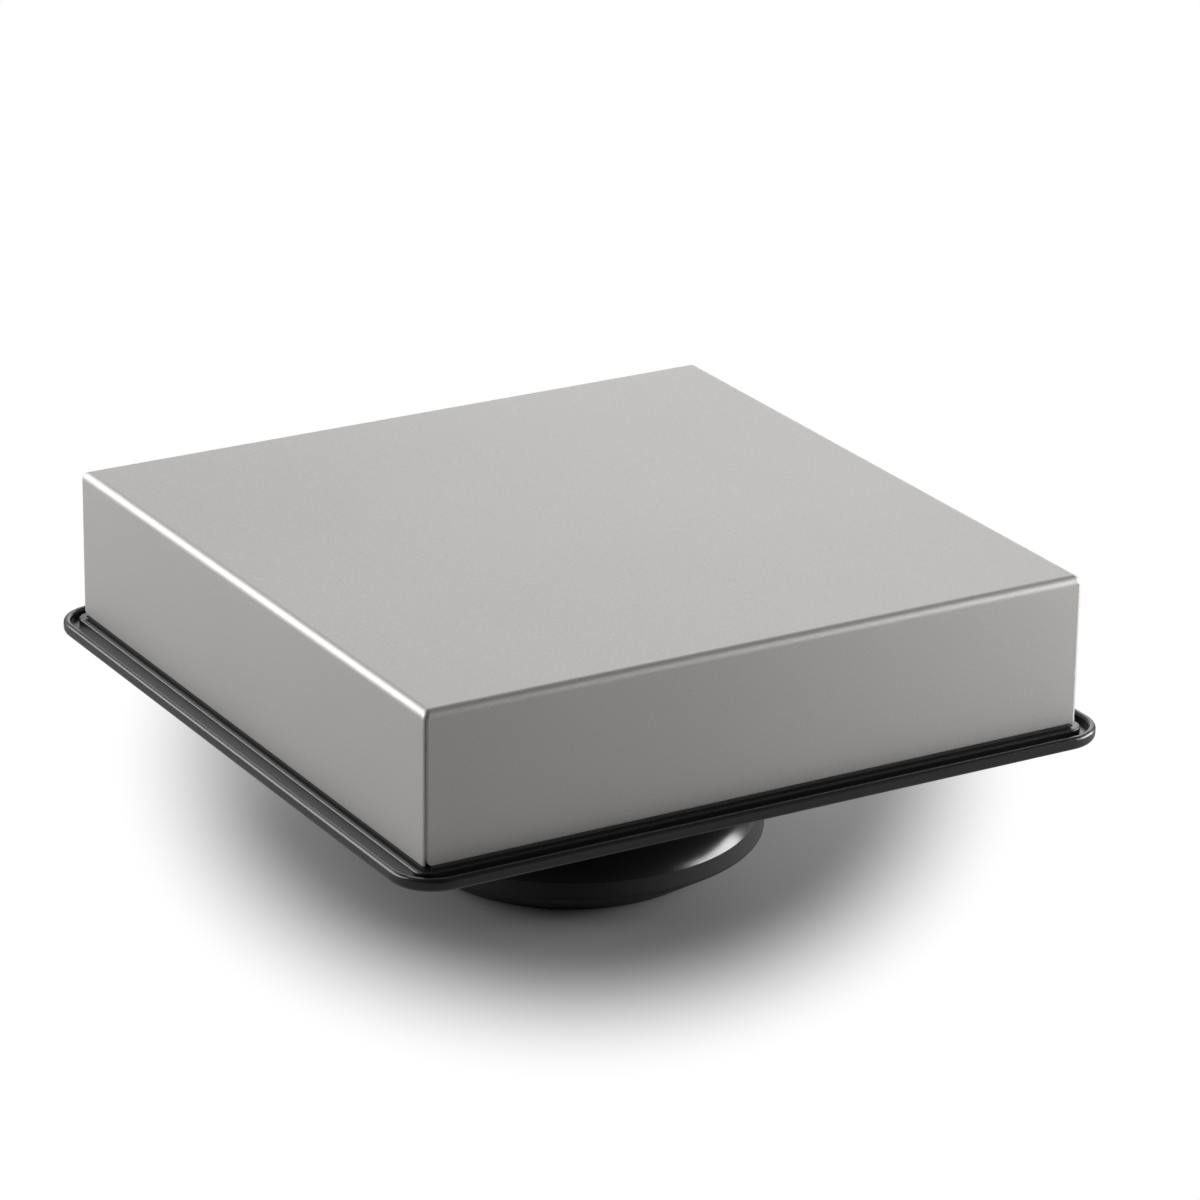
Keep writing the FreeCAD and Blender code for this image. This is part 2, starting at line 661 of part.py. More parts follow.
def port_plate():
    """Insert in the neck's flat, with a window for each socket and control."""
    plate = box(-PORT_PLATE_HALF_X, PORT_PLATE_HALF_X, PORT_PLATE_BACK, FLAT_Y,
                PORT_PLATE_LOW, PORT_PLATE_HIGH)
    y0, y1 = PORT_PLATE_BACK - OVER, FLAT_Y + OVER
    jack_half = JACK_X / 2 + WINDOW_CLEAR
    power_half = DC_X / 2 + WINDOW_CLEAR
    low = PORT_TOP - WINDOW_CLEAR
    tools = [box(JACK_AT_X - jack_half, JACK_AT_X + jack_half, y0, y1,
                 low, PORT_TOP + JACK_H + WINDOW_CLEAR),
             box(DC_AT_X - power_half, DC_AT_X + power_half, y0, y1,
                 low, PORT_TOP + DC_H + WINDOW_CLEAR),
             rod_y(BUTTON_R + BUTTON_CLEAR, y0, y1, CONTROL_AT_X, BUTTON_AXIS_Z),
             rod_y(PIPE_R + WINDOW_CLEAR, y0, y1, CONTROL_AT_X, PIPE_Z)]
    return cut(plate, tools)


def port_board():
    """Small board that carries the sockets."""
    board = box(-PORT_BOARD_HALF_X, PORT_BOARD_HALF_X, -PORT_BOARD_FRONT,
                PORT_PLATE_BACK - PORT_BOARD_BACK_GAP, PORT_BOARD_Z, PORT_TOP)
    inside = rod(NECK_IN_R - PORT_BOARD_GAP, PORT_BOARD_Z - OVER, PORT_TOP + OVER)
    tools = [rod(BOSS_R + PORT_COLUMN_GAP, PORT_BOARD_Z - OVER, PORT_TOP + OVER, x, y)
             for x, y in COLUMNS]
    tools += [rod(M25_R + HOLE_CLEAR, PORT_BOARD_Z - OVER, PORT_TOP + OVER,
                  side * FRONT_X, PORT_FIX_Y) for side in (-1, 1)]
    return cut(board.common(inside), tools)


def jack_hollow(grow, depth):
    """The network socket's mouth with its latch step, grown all round by a wall."""
    half = JACK_MOUTH_X / 2 + grow
    tab = JACK_TAB_X / 2 + grow
    z = JACK_MOUTH_Z
    y0 = PORT_FACE_Y - depth
    mouth = box(JACK_AT_X - half, JACK_AT_X + half, y0, PORT_FACE_Y + OVER,
                z + JACK_TAB_H - grow, z + JACK_TAB_H + JACK_MOUTH_H + grow)
    step = box(JACK_AT_X - tab, JACK_AT_X + tab, y0, PORT_FACE_Y + OVER,
               z - grow, z + JACK_TAB_H + grow + MERGE)
    return fuse(mouth, [step])


def ethernet_shield():
    """Plated steel can round the network socket, open at the front."""
    half = JACK_X / 2
    y0 = PORT_FACE_Y - JACK_Y
    can = box(JACK_AT_X - half, JACK_AT_X + half, y0, PORT_FACE_Y,
              PORT_TOP, PORT_TOP + JACK_H)
    core = box(JACK_AT_X - half + JACK_T, JACK_AT_X + half - JACK_T, y0 + JACK_T,
               PORT_FACE_Y - JACK_T, PORT_TOP - OVER, PORT_TOP + JACK_H - JACK_T)
    return cut(can, [core, jack_hollow(JACK_LINING, JACK_T + JACK_FACE_SPARE)])


def ethernet_insert():
    """Plastic body inside the shield, with the socket's hollow."""
    half = JACK_X / 2 - JACK_T
    y0 = PORT_FACE_Y - JACK_Y + JACK_T
    body = box(JACK_AT_X - half, JACK_AT_X + half, y0, PORT_FACE_Y - JACK_T,
               PORT_TOP, PORT_TOP + JACK_H - JACK_T)
    return body.cut(jack_hollow(0, JACK_MOUTH_DEPTH))


def ethernet_contacts():
    """Eight spring wires that slope down through the socket's hollow."""
    top = JACK_MOUTH_Z + JACK_TAB_H + JACK_MOUTH_H
    front = PORT_FACE_Y - CONTACT_FROM_FACE
    back = front - CONTACT_RUN
    made = []
    for k in range(CONTACT_COUNT):
        x = JACK_AT_X + (k - (CONTACT_COUNT - 1) / 2) * CONTACT_PITCH
        x -= CONTACT_WIRE / 2
        profile = [V(x, front, top),
                   V(x, front - CONTACT_WIRE * CONTACT_SLANT, top),
                   V(x, back - CONTACT_WIRE, top - CONTACT_DROP),
                   V(x, back, top - CONTACT_DROP - CONTACT_WIRE),
                   V(x, front, top)]
        face = Part.Face(Part.makePolygon(profile))
        made.append(face.extrude(V(CONTACT_WIRE, 0, 0)))
    return Part.makeCompound(made)


def power_socket():
    """Barrel power socket body."""
    half = DC_X / 2
    body = box(DC_AT_X - half, DC_AT_X + half, PORT_FACE_Y - DC_Y, PORT_FACE_Y,
               PORT_TOP, PORT_TOP + DC_H)
    bore = rod_y(DC_BORE_R, PORT_FACE_Y - DC_BORE_DEPTH, PORT_FACE_Y + OVER,
                 DC_AT_X, DC_AXIS_Z)
    seat = rod_y(DC_PIN_R, PORT_FACE_Y - DC_Y - OVER, PORT_FACE_Y, DC_AT_X, DC_AXIS_Z)
    return cut(body, [bore, seat])


def power_pin():
    """Centre pin of the power socket, with a rounded tip."""
    end = PORT_FACE_Y - DC_PIN_SHORT
    pin = rod_y(DC_PIN_R, PORT_FACE_Y - DC_Y, end, DC_AT_X, DC_AXIS_Z)
    tip = [e for e in pin.Edges
           if abs(e.CenterOfMass.y - end) < TINY and e.Length > DC_PIN_R]
    return pin.makeFillet(DC_TIP_R, tip)


# ---- controls ----------------------------------------------------------------

def pair_switch():
    """Upright push switch for the pair button."""
    front = SWITCH_FRONT - SWITCH_PLUNGER_OUT
    body = box(CONTROL_AT_X - SWITCH_X / 2, CONTROL_AT_X + SWITCH_X / 2,
               front - SWITCH_Y, front, PORT_TOP, PORT_TOP + SWITCH_H)
    body = body.common(rod(NECK_IN_R - SWITCH_WALL_GAP, PORT_TOP - OVER,
                           PORT_TOP + SWITCH_H + OVER))
    hole = rod_y(SWITCH_PLUNGER_R + PLUNGER_CLEAR, front - SWITCH_SOCKET, front + OVER,
                 CONTROL_AT_X, BUTTON_AXIS_Z)
    return body.cut(hole)


def pair_plunger():
    """The pair switch's plunger, which the button's stem rests on."""
    back = SWITCH_FRONT - SWITCH_PLUNGER_OUT - SWITCH_SOCKET
    back += SWITCH_TRAVEL + SWITCH_SPARE
    return rod_y(SWITCH_PLUNGER_R, back, SWITCH_FRONT, CONTROL_AT_X, BUTTON_AXIS_Z)


def pair_button():
    """Button cap with its flange behind the plate and its stem on the plunger."""
    flange_front = PORT_PLATE_BACK - BUTTON_GAP
    cap = rod_y(BUTTON_R, flange_front, FLAT_Y + BUTTON_PROUD,
                CONTROL_AT_X, BUTTON_AXIS_Z)
    rim = [e for e in cap.Edges
           if abs(e.CenterOfMass.y - FLAT_Y - BUTTON_PROUD) < TINY
           and e.Length > BUTTON_R]
    cap = cap.makeFillet(BUTTON_EDGE_R, rim)
    flange = rod_y(BUTTON_FLANGE_R, flange_front - BUTTON_FLANGE_T, flange_front,
                   CONTROL_AT_X, BUTTON_AXIS_Z)
    stem = rod_y(BUTTON_STEM_R, SWITCH_FRONT, flange_front,
                 CONTROL_AT_X, BUTTON_AXIS_Z)
    return fuse(cap, [flange, stem])


def status_led():
    """Lamp under the light pipe's lower end."""
    y = PORT_PLATE_BACK - LED_FROM_BACK
    half = LED_SIDE / 2
    return box(CONTROL_AT_X - half, CONTROL_AT_X + half, y - half, y + half,
               PORT_TOP, PORT_TOP + LED_H)


def light_pipe():
    """Clear rod from the lamp, round a bend, to the port plate."""
    y = PORT_PLATE_BACK - LED_FROM_BACK
    points = [V(CONTROL_AT_X, y, PORT_TOP + LED_H + PIPE_GAP),
              V(CONTROL_AT_X, y, PIPE_Z),
              V(CONTROL_AT_X, FLAT_Y + PIPE_PROUD, PIPE_Z)]
    return tube(points, PIPE_R)


def reset_switch():
    """Push switch under the main board, above the reset hole."""
    half = RESET_BODY / 2
    body = box(RESET_X - half, RESET_X + half, RESET_Y - half, RESET_Y + half,
               BOARD_Z - RESET_BODY_H, BOARD_Z)
    return body.cut(rod(RESET_PLUNGER_R + PLUNGER_CLEAR, BOARD_Z - RESET_BODY_H - OVER,
                        BOARD_Z - RESET_BODY_H + RESET_SOCKET, RESET_X, RESET_Y))


def reset_plunger():
    """The reset switch's plunger."""
    low = BOARD_Z - RESET_BODY_H - RESET_PLUNGER_OUT
    high = BOARD_Z - RESET_BODY_H + RESET_SOCKET - SWITCH_TRAVEL - SWITCH_SPARE
    return rod(RESET_PLUNGER_R, low, high, RESET_X, RESET_Y)


# ---- main board --------------------------------------------------------------

def sink_legs():
    """Where the heat sink's legs stand."""
    x, y = SINK_X / 2 - SINK_LEG_IN, SINK_Y / 2 - SINK_LEG_IN
    return [(sx * x, SINK_AT_Y + sy * y) for sx, sy in CORNERS]


def main_board():
    """Main circuit board."""
    board = rounded(BOARD_HALF, BOARD_HALF, BOARD_R, BOARD_Z, BOARD_TOP)
    tools = [rod(M25_R + HOLE_CLEAR, BOARD_Z - OVER, BOARD_TOP + OVER,
                 sx * BOARD_FIX, sy * BOARD_FIX) for sx, sy in CORNERS]
    tools += [rod(M25_R + HOLE_CLEAR, BOARD_Z - OVER, BOARD_TOP + OVER, x, y)
              for x, y in sink_legs()]
    return cut(board, tools)


def processor():
    """Processor: a substrate with a smaller lid."""
    half = SOC_SIDE / 2
    base = box(-half, half, SINK_AT_Y - half, SINK_AT_Y + half,
               BOARD_TOP, BOARD_TOP + SOC_BASE_H)
    lid_half = half - SOC_LID_IN
    lid = box(-lid_half, lid_half, SINK_AT_Y - lid_half, SINK_AT_Y + lid_half,
              BOARD_TOP + SOC_BASE_H, BOARD_TOP + SOC_H)
    return fuse(base, [lid])


def memory_chips():
    """Two memory chips beside the processor."""
    y = SINK_AT_Y + max(SOC_SIDE, CAN_Y) / 2 + RAM_GAP + RAM_Y / 2
    return Part.makeCompound(
        [box(x - RAM_X / 2, x + RAM_X / 2, y - RAM_Y / 2, y + RAM_Y / 2,
             BOARD_TOP, BOARD_TOP + RAM_H) for x in (-RAM_AT_X, RAM_AT_X)])


def radio_can(side):
    """Shield can over one radio, open underneath, with a grid of holes."""
    x = side * CAN_AT_X
    hx, hy = CAN_X / 2, CAN_Y / 2
    can = box(x - hx, x + hx, SINK_AT_Y - hy, SINK_AT_Y + hy,
              BOARD_TOP, BOARD_TOP + CAN_H)
    core = box(x - hx + CAN_T, x + hx - CAN_T, SINK_AT_Y - hy + CAN_T,
               SINK_AT_Y + hy - CAN_T, BOARD_TOP - OVER, BOARD_TOP + CAN_H - CAN_T)
    middle = (CAN_HOLE_COUNT - 1) / 2
    holes = [rod(CAN_HOLE_R, BOARD_TOP, BOARD_TOP + CAN_H + OVER,
                 x + side * (hx - CAN_HOLE_IN), SINK_AT_Y + (k - middle) * CAN_HOLE_PITCH)
             for k in range(CAN_HOLE_COUNT)]
    return cut(can, [core] + holes)


def radio_chips():
    """One radio chip under each can."""
    half = RADIO_SIDE / 2
    return Part.makeCompound(
        [box(x - half, x + half, SINK_AT_Y - half, SINK_AT_Y + half,
             BOARD_TOP, BOARD_TOP + RADIO_H) for x in (-CAN_AT_X, CAN_AT_X)])


def thermal_pads():
    """Soft pads from the processor and the cans up to the heat sink."""
    half = SOC_SIDE / 2 - SOC_LID_IN
    pads = [box(-half, half, SINK_AT_Y - half, SINK_AT_Y + half,
                BOARD_TOP + SOC_H, SINK_Z)]
    for side in (-1, 1):
        x = side * CAN_AT_X
        pads.append(box(x - PAD_X / 2, x + PAD_X / 2, SINK_AT_Y - PAD_Y / 2,
                        SINK_AT_Y + PAD_Y / 2, BOARD_TOP + CAN_H, SINK_Z))
    return Part.makeCompound(pads)


def heat_sink():
    """Finned heat sink on four legs."""
    hx, hy = SINK_X / 2, SINK_Y / 2
    base = box(-hx, hx, SINK_AT_Y - hy, SINK_AT_Y + hy, SINK_Z, SINK_Z + SINK_BASE)
    pitch = (SINK_X - SINK_FIN_T) / (SINK_FIN_COUNT - 1)
    fins = [box(-hx + k * pitch, -hx + k * pitch + SINK_FIN_T,
                SINK_AT_Y - hy, SINK_AT_Y + hy, SINK_Z + SINK_BASE - MERGE, SINK_TOP)
            for k in range(SINK_FIN_COUNT)]
    legs = [rod(SINK_LEG_R, BOARD_TOP, SINK_Z + MERGE, x, y) for x, y in sink_legs()]
    solid = fuse(base, fins + legs)
    return cut(solid, [rod(M25_R + THREAD_CLEAR, BOARD_TOP - OVER,
                           SINK_Z + SINK_BASE - SINK_HOLE_SPARE, x, y) for x, y in sink_legs()])


def capacitors():
    """Three upright capacitors at the front of the board."""
    y = -BOARD_HALF + POWER_ROW_IN
    return Part.makeCompound(
        [rod(CAPACITOR_R, BOARD_TOP, BOARD_TOP + CAPACITOR_H,
             POWER_ROW_X + k * POWER_ROW_PITCH, y) for k in range(CAPACITOR_COUNT)])


def inductors():
    """Two power coils beside the capacitors."""
    y = -BOARD_HALF + POWER_ROW_IN
    coil = rounded(COIL_HALF, COIL_HALF, COIL_R, BOARD_TOP, BOARD_TOP + COIL_H)
    return Part.makeCompound(
        [coil.translated(V(COIL_AT_X + k * POWER_ROW_PITCH, y, 0))
         for k in range(COIL_COUNT)])


def riser_sockets():
    """The riser's two sockets, one on each board, with a hole for each pin."""
    half_x = RISER_COLUMNS * RISER_PITCH / 2 + RISER_END
    half_y = RISER_SOCKET_Y / 2
    made = []
    for low, high in ((PORT_TOP, PORT_TOP + RISER_SOCKET_H),
                      (BOARD_Z - RISER_SOCKET_H, BOARD_Z)):
        block = box(-half_x, half_x, RISER_AT_Y - half_y, RISER_AT_Y + half_y,
                    low, high)
        half = RISER_PIN / 2 + RISER_PIN_CLEAR
        made.append(cut(block, [box(x - half, x + half, y - half, y + half,
                                    low - OVER, high + OVER) for x, y in riser_grid()]))
    return Part.makeCompound(made)


def riser_grid():
    """Where the riser's pins stand."""
    return [((k - (RISER_COLUMNS - 1) / 2) * RISER_PITCH,
             RISER_AT_Y + row * RISER_PITCH / 2)
            for k in range(RISER_COLUMNS) for row in (-1, 1)]


def riser_pins():
    """Square pins that join the two sockets."""
    half = RISER_PIN / 2
    return Part.makeCompound(
        [box(x - half, x + half, y - half, y + half,
             PORT_TOP + RISER_PIN_SHORT, BOARD_Z - RISER_PIN_SHORT)
         for x, y in riser_grid()])


def riser_spacer():
    """Plastic comb that keeps the riser's pins in line."""
    half_x = RISER_COLUMNS * RISER_PITCH / 2 + RISER_END
    half_y = RISER_SOCKET_Y / 2
    middle = (PORT_TOP + BOARD_Z) / 2
    block = box(-half_x, half_x, RISER_AT_Y - half_y, RISER_AT_Y + half_y,
                middle - COMB_H / 2, middle + COMB_H / 2)
    half = RISER_PIN / 2 + RISER_PIN_CLEAR
    return cut(block, [box(x - half, x + half, y - half, y + half,
                           middle - COMB_H, middle + COMB_H) for x, y in riser_grid()])


# ---- antennas ----------------------------------------------------------------

def antenna(side):
    """One antenna strip on its two pegs. side counts quarter turns."""
    strip = box(-ANT_L / 2, ANT_L / 2, -ANT_AT - ANT_W / 2, -ANT_AT + ANT_W / 2,
                ANT_Z, ANT_Z + ANT_T)
    return around(strip)[side]


def antenna_plugs():
    """Small round coax plugs on the board, one for each antenna."""
    y = -BOARD_HALF + PLUG_FROM_EDGE
    plug = rod(PLUG_R, BOARD_TOP, BOARD_TOP + PLUG_H, PLUG_AT_X, y)
    return Part.makeCompound(around(plug))


def antenna_lead(side):
    """Coax lead from an antenna strip, up past the board's edge, to its plug."""
    low = ANT_Z + ANT_T + LEAD_R
    high = BOARD_TOP + PLUG_H - LEAD_R
    edge = -BOARD_HALF
    end = ANT_L / 2
    points = [V(end - LEAD_START_IN, -ANT_AT, low),
              V(end + LEAD_STRAIGHT, -ANT_AT, low),
              V(end + LEAD_SWING_X, -ANT_AT, low + LEAD_SWING_UP),
              V(PLUG_AT_X - LEAD_EDGE_X, edge - LEAD_EDGE_OUT, high + LEAD_EDGE_UP),
              V(PLUG_AT_X, edge + LEAD_LAND_IN, high),
              V(PLUG_AT_X, edge + PLUG_FROM_EDGE - PLUG_R - LEAD_GAP, high)]
    return around(tube(points, LEAD_R))[side]


# ---- screws ------------------------------------------------------------------

def cover_screws():
    """Screws up through the tray's bosses into the cover's standoffs."""
    seat = COVER_BOSS_TOP - COVER_BOSS_SEAT
    return Part.makeCompound(
        [screw(M3_R, M3_HEAD_R, M3_HEAD_H, COVER_SCREW_L,
               (sx * COVER_FIX, sy * COVER_FIX, seat), down=False)
         for sx, sy in CORNERS])


def board_screws():
    """Screws down through the main board into the tray's posts."""
    return Part.makeCompound(
        [screw(M25_R, M25_HEAD_R, M25_HEAD_H, BOARD_SCREW_L,
               (sx * BOARD_FIX, sy * BOARD_FIX, BOARD_TOP)) for sx, sy in CORNERS])


def sink_screws():
    """Screws up through the main board into the heat sink's legs."""
    return Part.makeCompound(
        [screw(M25_R, M25_HEAD_R, M25_HEAD_H, SINK_SCREW_L, (x, y, BOARD_Z),
               down=False) for x, y in sink_legs()])


def tray_screws():
    """Screws down through the tray into the pedestal's columns."""
    return Part.makeCompound(
        [screw(M3_R, M3_HEAD_R, M3_HEAD_H, TRAY_SCREW_L, (x, y, TRAY_TOP))
         for x, y in COLUMNS])


def foot_screws():
    """Screws up through the foot plate into the pedestal's columns."""
    return Part.makeCompound(
        [screw(M3_R, M3_HEAD_R, M3_HEAD_H, PLATE_SCREW_L, (x, y, PLATE_Z),
               down=False) for x, y in COLUMNS])


def port_screws():
    """Screws up through the port board into its bosses."""
    return Part.makeCompound(
        [screw(M25_R, M25_HEAD_R, M25_HEAD_H, PORT_SCREW_L,
               (side * FRONT_X, PORT_FIX_Y, PORT_BOARD_Z), down=False)
         for side in (-1, 1)])


# ---- the assembly ------------------------------------------------------------

NODES = {
    "cover_shell": cover_shell,
    "cover_standoffs": cover_standoffs,
    "cover_gasket": cover_gasket,
    "cover_screws": cover_screws,
    "base_tray": base_tray,
    "tray_screws": tray_screws,
    "pedestal": pedestal,
    "foot_plate": foot_plate,
    "foot_screws": foot_screws,
    "rubber_base": rubber_base,
    "port_plate": port_plate,
    "port_board": port_board,
    "port_screws": port_screws,
    "ethernet_shield": ethernet_shield,
    "ethernet_insert": ethernet_insert,
    "ethernet_contacts": ethernet_contacts,
    "power_socket": power_socket,
    "power_pin": power_pin,
    "pair_button": pair_button,
    "pair_plunger": pair_plunger,
    "pair_switch": pair_switch,
    "status_led": status_led,
    "light_pipe": light_pipe,
    "riser_sockets": riser_sockets,
    "riser_pins": riser_pins,
    "riser_spacer": riser_spacer,
    "main_board": main_board,
    "board_screws": board_screws,
    "processor": processor,
    "memory_chips": memory_chips,
    "radio_can_left": lambda: radio_can(-1),
    "radio_can_right": lambda: radio_can(1),
    "radio_chips": radio_chips,
    "thermal_pads": thermal_pads,
    "heat_sink": heat_sink,
    "sink_screws": sink_screws,
    "capacitors": capacitors,
    "inductors": inductors,
    "reset_switch": reset_switch,
    "reset_plunger": reset_plunger,
    "antenna_plugs": antenna_plugs,
}
for number, place in enumerate(("front", "right", "back", "left")):
    NODES["antenna_" + place] = lambda k=number: antenna(k)
    NODES["antenna_lead_" + place] = lambda k=number: antenna_lead(k)

os.makedirs("parts", exist_ok=True)
for node, make in NODES.items():
    shape = make()
    solids = shape.Solids
    if not solids or not all(s.isValid() and s.Volume > 0 for s in solids):
        raise ValueError(node + " is not a valid closed solid")
    if len(solids) > 1:
        shape = Part.makeCompound(solids)
    else:
        shape = solids[0]
    shape.exportStep("parts/" + node + ".step")
    print(node, len(solids), round(sum(s.Volume for s in solids), 1))
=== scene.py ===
"""Mesh wifi node: finishes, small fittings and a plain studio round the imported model.

Lengths are metres, +Z is up, the front faces -Y and the sockets face +Y. Every piece's
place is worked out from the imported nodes' own boxes.
"""
import logging
import math
from dataclasses import dataclass
from enum import Enum
from typing import Any, Optional, Union

import bpy
from mathutils import Matrix, Vector


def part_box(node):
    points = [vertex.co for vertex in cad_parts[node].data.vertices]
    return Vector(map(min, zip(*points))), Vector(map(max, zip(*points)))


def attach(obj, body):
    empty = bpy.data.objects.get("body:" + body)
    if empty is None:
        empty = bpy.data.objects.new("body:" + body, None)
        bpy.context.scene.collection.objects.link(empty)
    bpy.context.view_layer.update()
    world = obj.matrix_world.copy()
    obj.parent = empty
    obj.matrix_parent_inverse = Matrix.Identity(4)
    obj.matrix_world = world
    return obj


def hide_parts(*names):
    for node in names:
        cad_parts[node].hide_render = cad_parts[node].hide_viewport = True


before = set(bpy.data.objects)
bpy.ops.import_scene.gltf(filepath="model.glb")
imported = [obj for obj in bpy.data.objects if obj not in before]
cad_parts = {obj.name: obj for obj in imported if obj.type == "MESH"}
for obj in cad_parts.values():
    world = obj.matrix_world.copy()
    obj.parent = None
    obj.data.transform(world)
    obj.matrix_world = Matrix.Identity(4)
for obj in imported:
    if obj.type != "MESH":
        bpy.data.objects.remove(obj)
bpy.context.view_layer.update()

log = logging.getLogger("node_scene")

MM = 0.001
RGB = tuple[float, float, float]
Span = tuple[float, float]
Number = Union[float, "Wire"]


# ---- node graphs -------------------------------------------------------------

class Wire:
    """One socket of a graph, so that shader and geometry maths reads as sums."""

    def __init__(self, graph: "Graph", socket: bpy.types.NodeSocket) -> None:
        """Keeps the graph that new nodes go into, and the socket to link from."""
        self.graph = graph
        self.socket = socket

    def _math(self, operation: str, first: Number, second: Number = 0.0) -> "Wire":
        """Adds one Math node.

        Args:
            operation: the node's operation.
            first: its first value or link.
            second: its second value or link.

        Returns:
            The node's result.
        """
        return self.graph.add("Math", {"operation": operation}, {0: first, 1: second})

    def __add__(self, other: Number) -> "Wire":
        """self + other."""
        return self._math("ADD", self, other)

    __radd__ = __add__

    def __sub__(self, other: Number) -> "Wire":
        """self - other."""
        return self._math("SUBTRACT", self, other)

    def __rsub__(self, other: Number) -> "Wire":
        """other - self."""
        return self._math("SUBTRACT", other, self)

    def __mul__(self, other: Number) -> "Wire":
        """self * other."""
        return self._math("MULTIPLY", self, other)

    __rmul__ = __mul__

    def __truediv__(self, other: Number) -> "Wire":
        """self / other."""
        return self._math("DIVIDE", self, other)

    def __lt__(self, other: Number) -> "Wire":
        """1 where self is less than other, else 0."""
        return self._math("LESS_THAN", self, other)

    def fade(self, low: float, high: float) -> "Wire":
        """A smooth step from 0 at low to 1 at high."""
        settings = {"interpolation_type": "SMOOTHSTEP"}
        return self.graph.add("MapRange", settings, {0: self, 1: low, 2: high})


class Graph:
    """A node tree that is written as expressions."""

    prefix = "ShaderNode"
    # Kinds of node that have the same prefix in every tree.
    shared = {"Math": "ShaderNode", "MapRange": "ShaderNode", "CombineXYZ": "ShaderNode",
              "RandomValue": "FunctionNode"}

    def __init__(self, tree: bpy.types.NodeTree) -> None:
        """Empties the tree and keeps it."""
        self.tree = tree
        tree.nodes.clear()

    def place(self, kind: str, settings: Optional[dict[str, Any]] = None,
              values: Optional[dict[Any, Any]] = None) -> bpy.types.Node:
        """Adds a node.

        Args:
            kind: the node's type without its prefix.
            settings: properties to set first, such as an operation.
            values: socket names or numbers, each with a value or a Wire.

        Returns:
            The node.
        """
        prefix = self.shared.get(kind, self.prefix)
        node = self.tree.nodes.new(prefix + kind)
        for name, value in (settings or {}).items():
            setattr(node, name, value)
        for key, value in (values or {}).items():
            if isinstance(value, Wire):
                self.tree.links.new(value.socket, node.inputs[key])
            else:
                node.inputs[key].default_value = value
        return node

    def add(self, kind: str, settings: Optional[dict[str, Any]] = None,
            values: Optional[dict[Any, Any]] = None, output: Any = 0) -> Wire:
        """Adds a node as place does, and returns one of its outputs."""
        node = self.place(kind, settings, values)
        return Wire(self, node.outputs[output])


@dataclass(frozen=True)
class Flecks:
    """How small round flecks are scattered.

    pitch is the size of the cell that may hold one fleck, radius a fleck's radius, and
    share the share of cells that hold one.
    """

    pitch: float
    radius: float
    share: float


class Surface(Graph):
    """A material's graph, built round one Principled shader."""

    MIDDLE = 0.5

    def __init__(self, name: str) -> None:
        """Makes the material and its shader."""
        self.material = bpy.data.materials.new(name)
        self.material.use_nodes = True
        super().__init__(self.material.node_tree)
        self.shader = self.place("BsdfPrincipled")
        self.output = self.place("OutputMaterial")
        self.tree.links.new(self.shader.outputs[0], self.output.inputs["Surface"])
        self.where = self.add("TexCoord", output="Object")

    def set(self, **values: Any) -> None:
        """Sets sockets of the shader; an underscore stands for a space."""
        for name, value in values.items():
            socket = self.shader.inputs[name.replace("_", " ")]
            if isinstance(value, Wire):
                self.tree.links.new(value.socket, socket)
            else:
                socket.default_value = value

    def noise(self, size: float, detail: float = 2.0, stretch: RGB = (1, 1, 1)) -> Wire:
        """Smooth noise.

        Args:
            size: about how far apart its spots are.
            detail: how many finer layers it has.
            stretch: how much finer it is along each axis.

        Returns:
            A value about 0.5, from 0 to 1.
        """
        where = self.where
        if stretch != (1, 1, 1):
            where = self.add("Mapping", None, {"Vector": where, "Scale": stretch})
        return self.add("TexNoise", None, {"Vector": where, "Scale": 1 / size,
                                           "Detail": detail, "Roughness": 0.55})

    def swing(self, value: Wire, amount: float) -> Wire:
        """A noise turned into a value about 0, as strong as amount."""
        return (value - self.MIDDLE) * amount

    def specks(self, flecks: Flecks) -> Wire:
        """Small round flecks: 1 on a fleck, 0 elsewhere, and a soft edge between."""
        reach = flecks.radius / flecks.pitch
        cells = self.place("TexVoronoi", None,
                           {"Vector": self.where, "Scale": 1 / flecks.pitch})
        near = Wire(self, cells.outputs["Distance"])
        chance = self.add("SeparateColor", None,
                          {"Color": Wire(self, cells.outputs["Color"])})
        spot = 1 - near.fade(0.4 * reach, reach)
        return spot * (chance < flecks.share)

    def tint(self, mask: Number, low: RGB, high: RGB) -> Wire:
        """A colour between low, where mask is 0, and high, where it is 1."""
        return self.add("Mix", {"data_type": "RGBA"},
                        {0: mask, 6: (*low, 1.0), 7: (*high, 1.0)}, output=2)

    def over(self, mask: Number, under: Wire, colour: RGB) -> Wire:
        """A plain colour laid over another one, as strong as mask."""
        return self.add("Mix", {"data_type": "RGBA"},
                        {0: mask, 6: under, 7: (*colour, 1.0)}, output=2)

    def bump(self, height: Wire, depth: float, under: Optional[Wire] = None) -> Wire:
        """A Bump node.

        Args:
            height: the height, from 0 to 1.
            depth: how deep a height of 1 is.
            under: a bumped normal that this one goes on top of.

        Returns:
            The bumped normal.
        """
        values = {"Height": height, "Distance": depth, "Strength": 1.0}
        if under is not None:
            values["Normal"] = under
        return self.add("Bump", None, values, output="Normal")


# ---- finishes ----------------------------------------------------------------

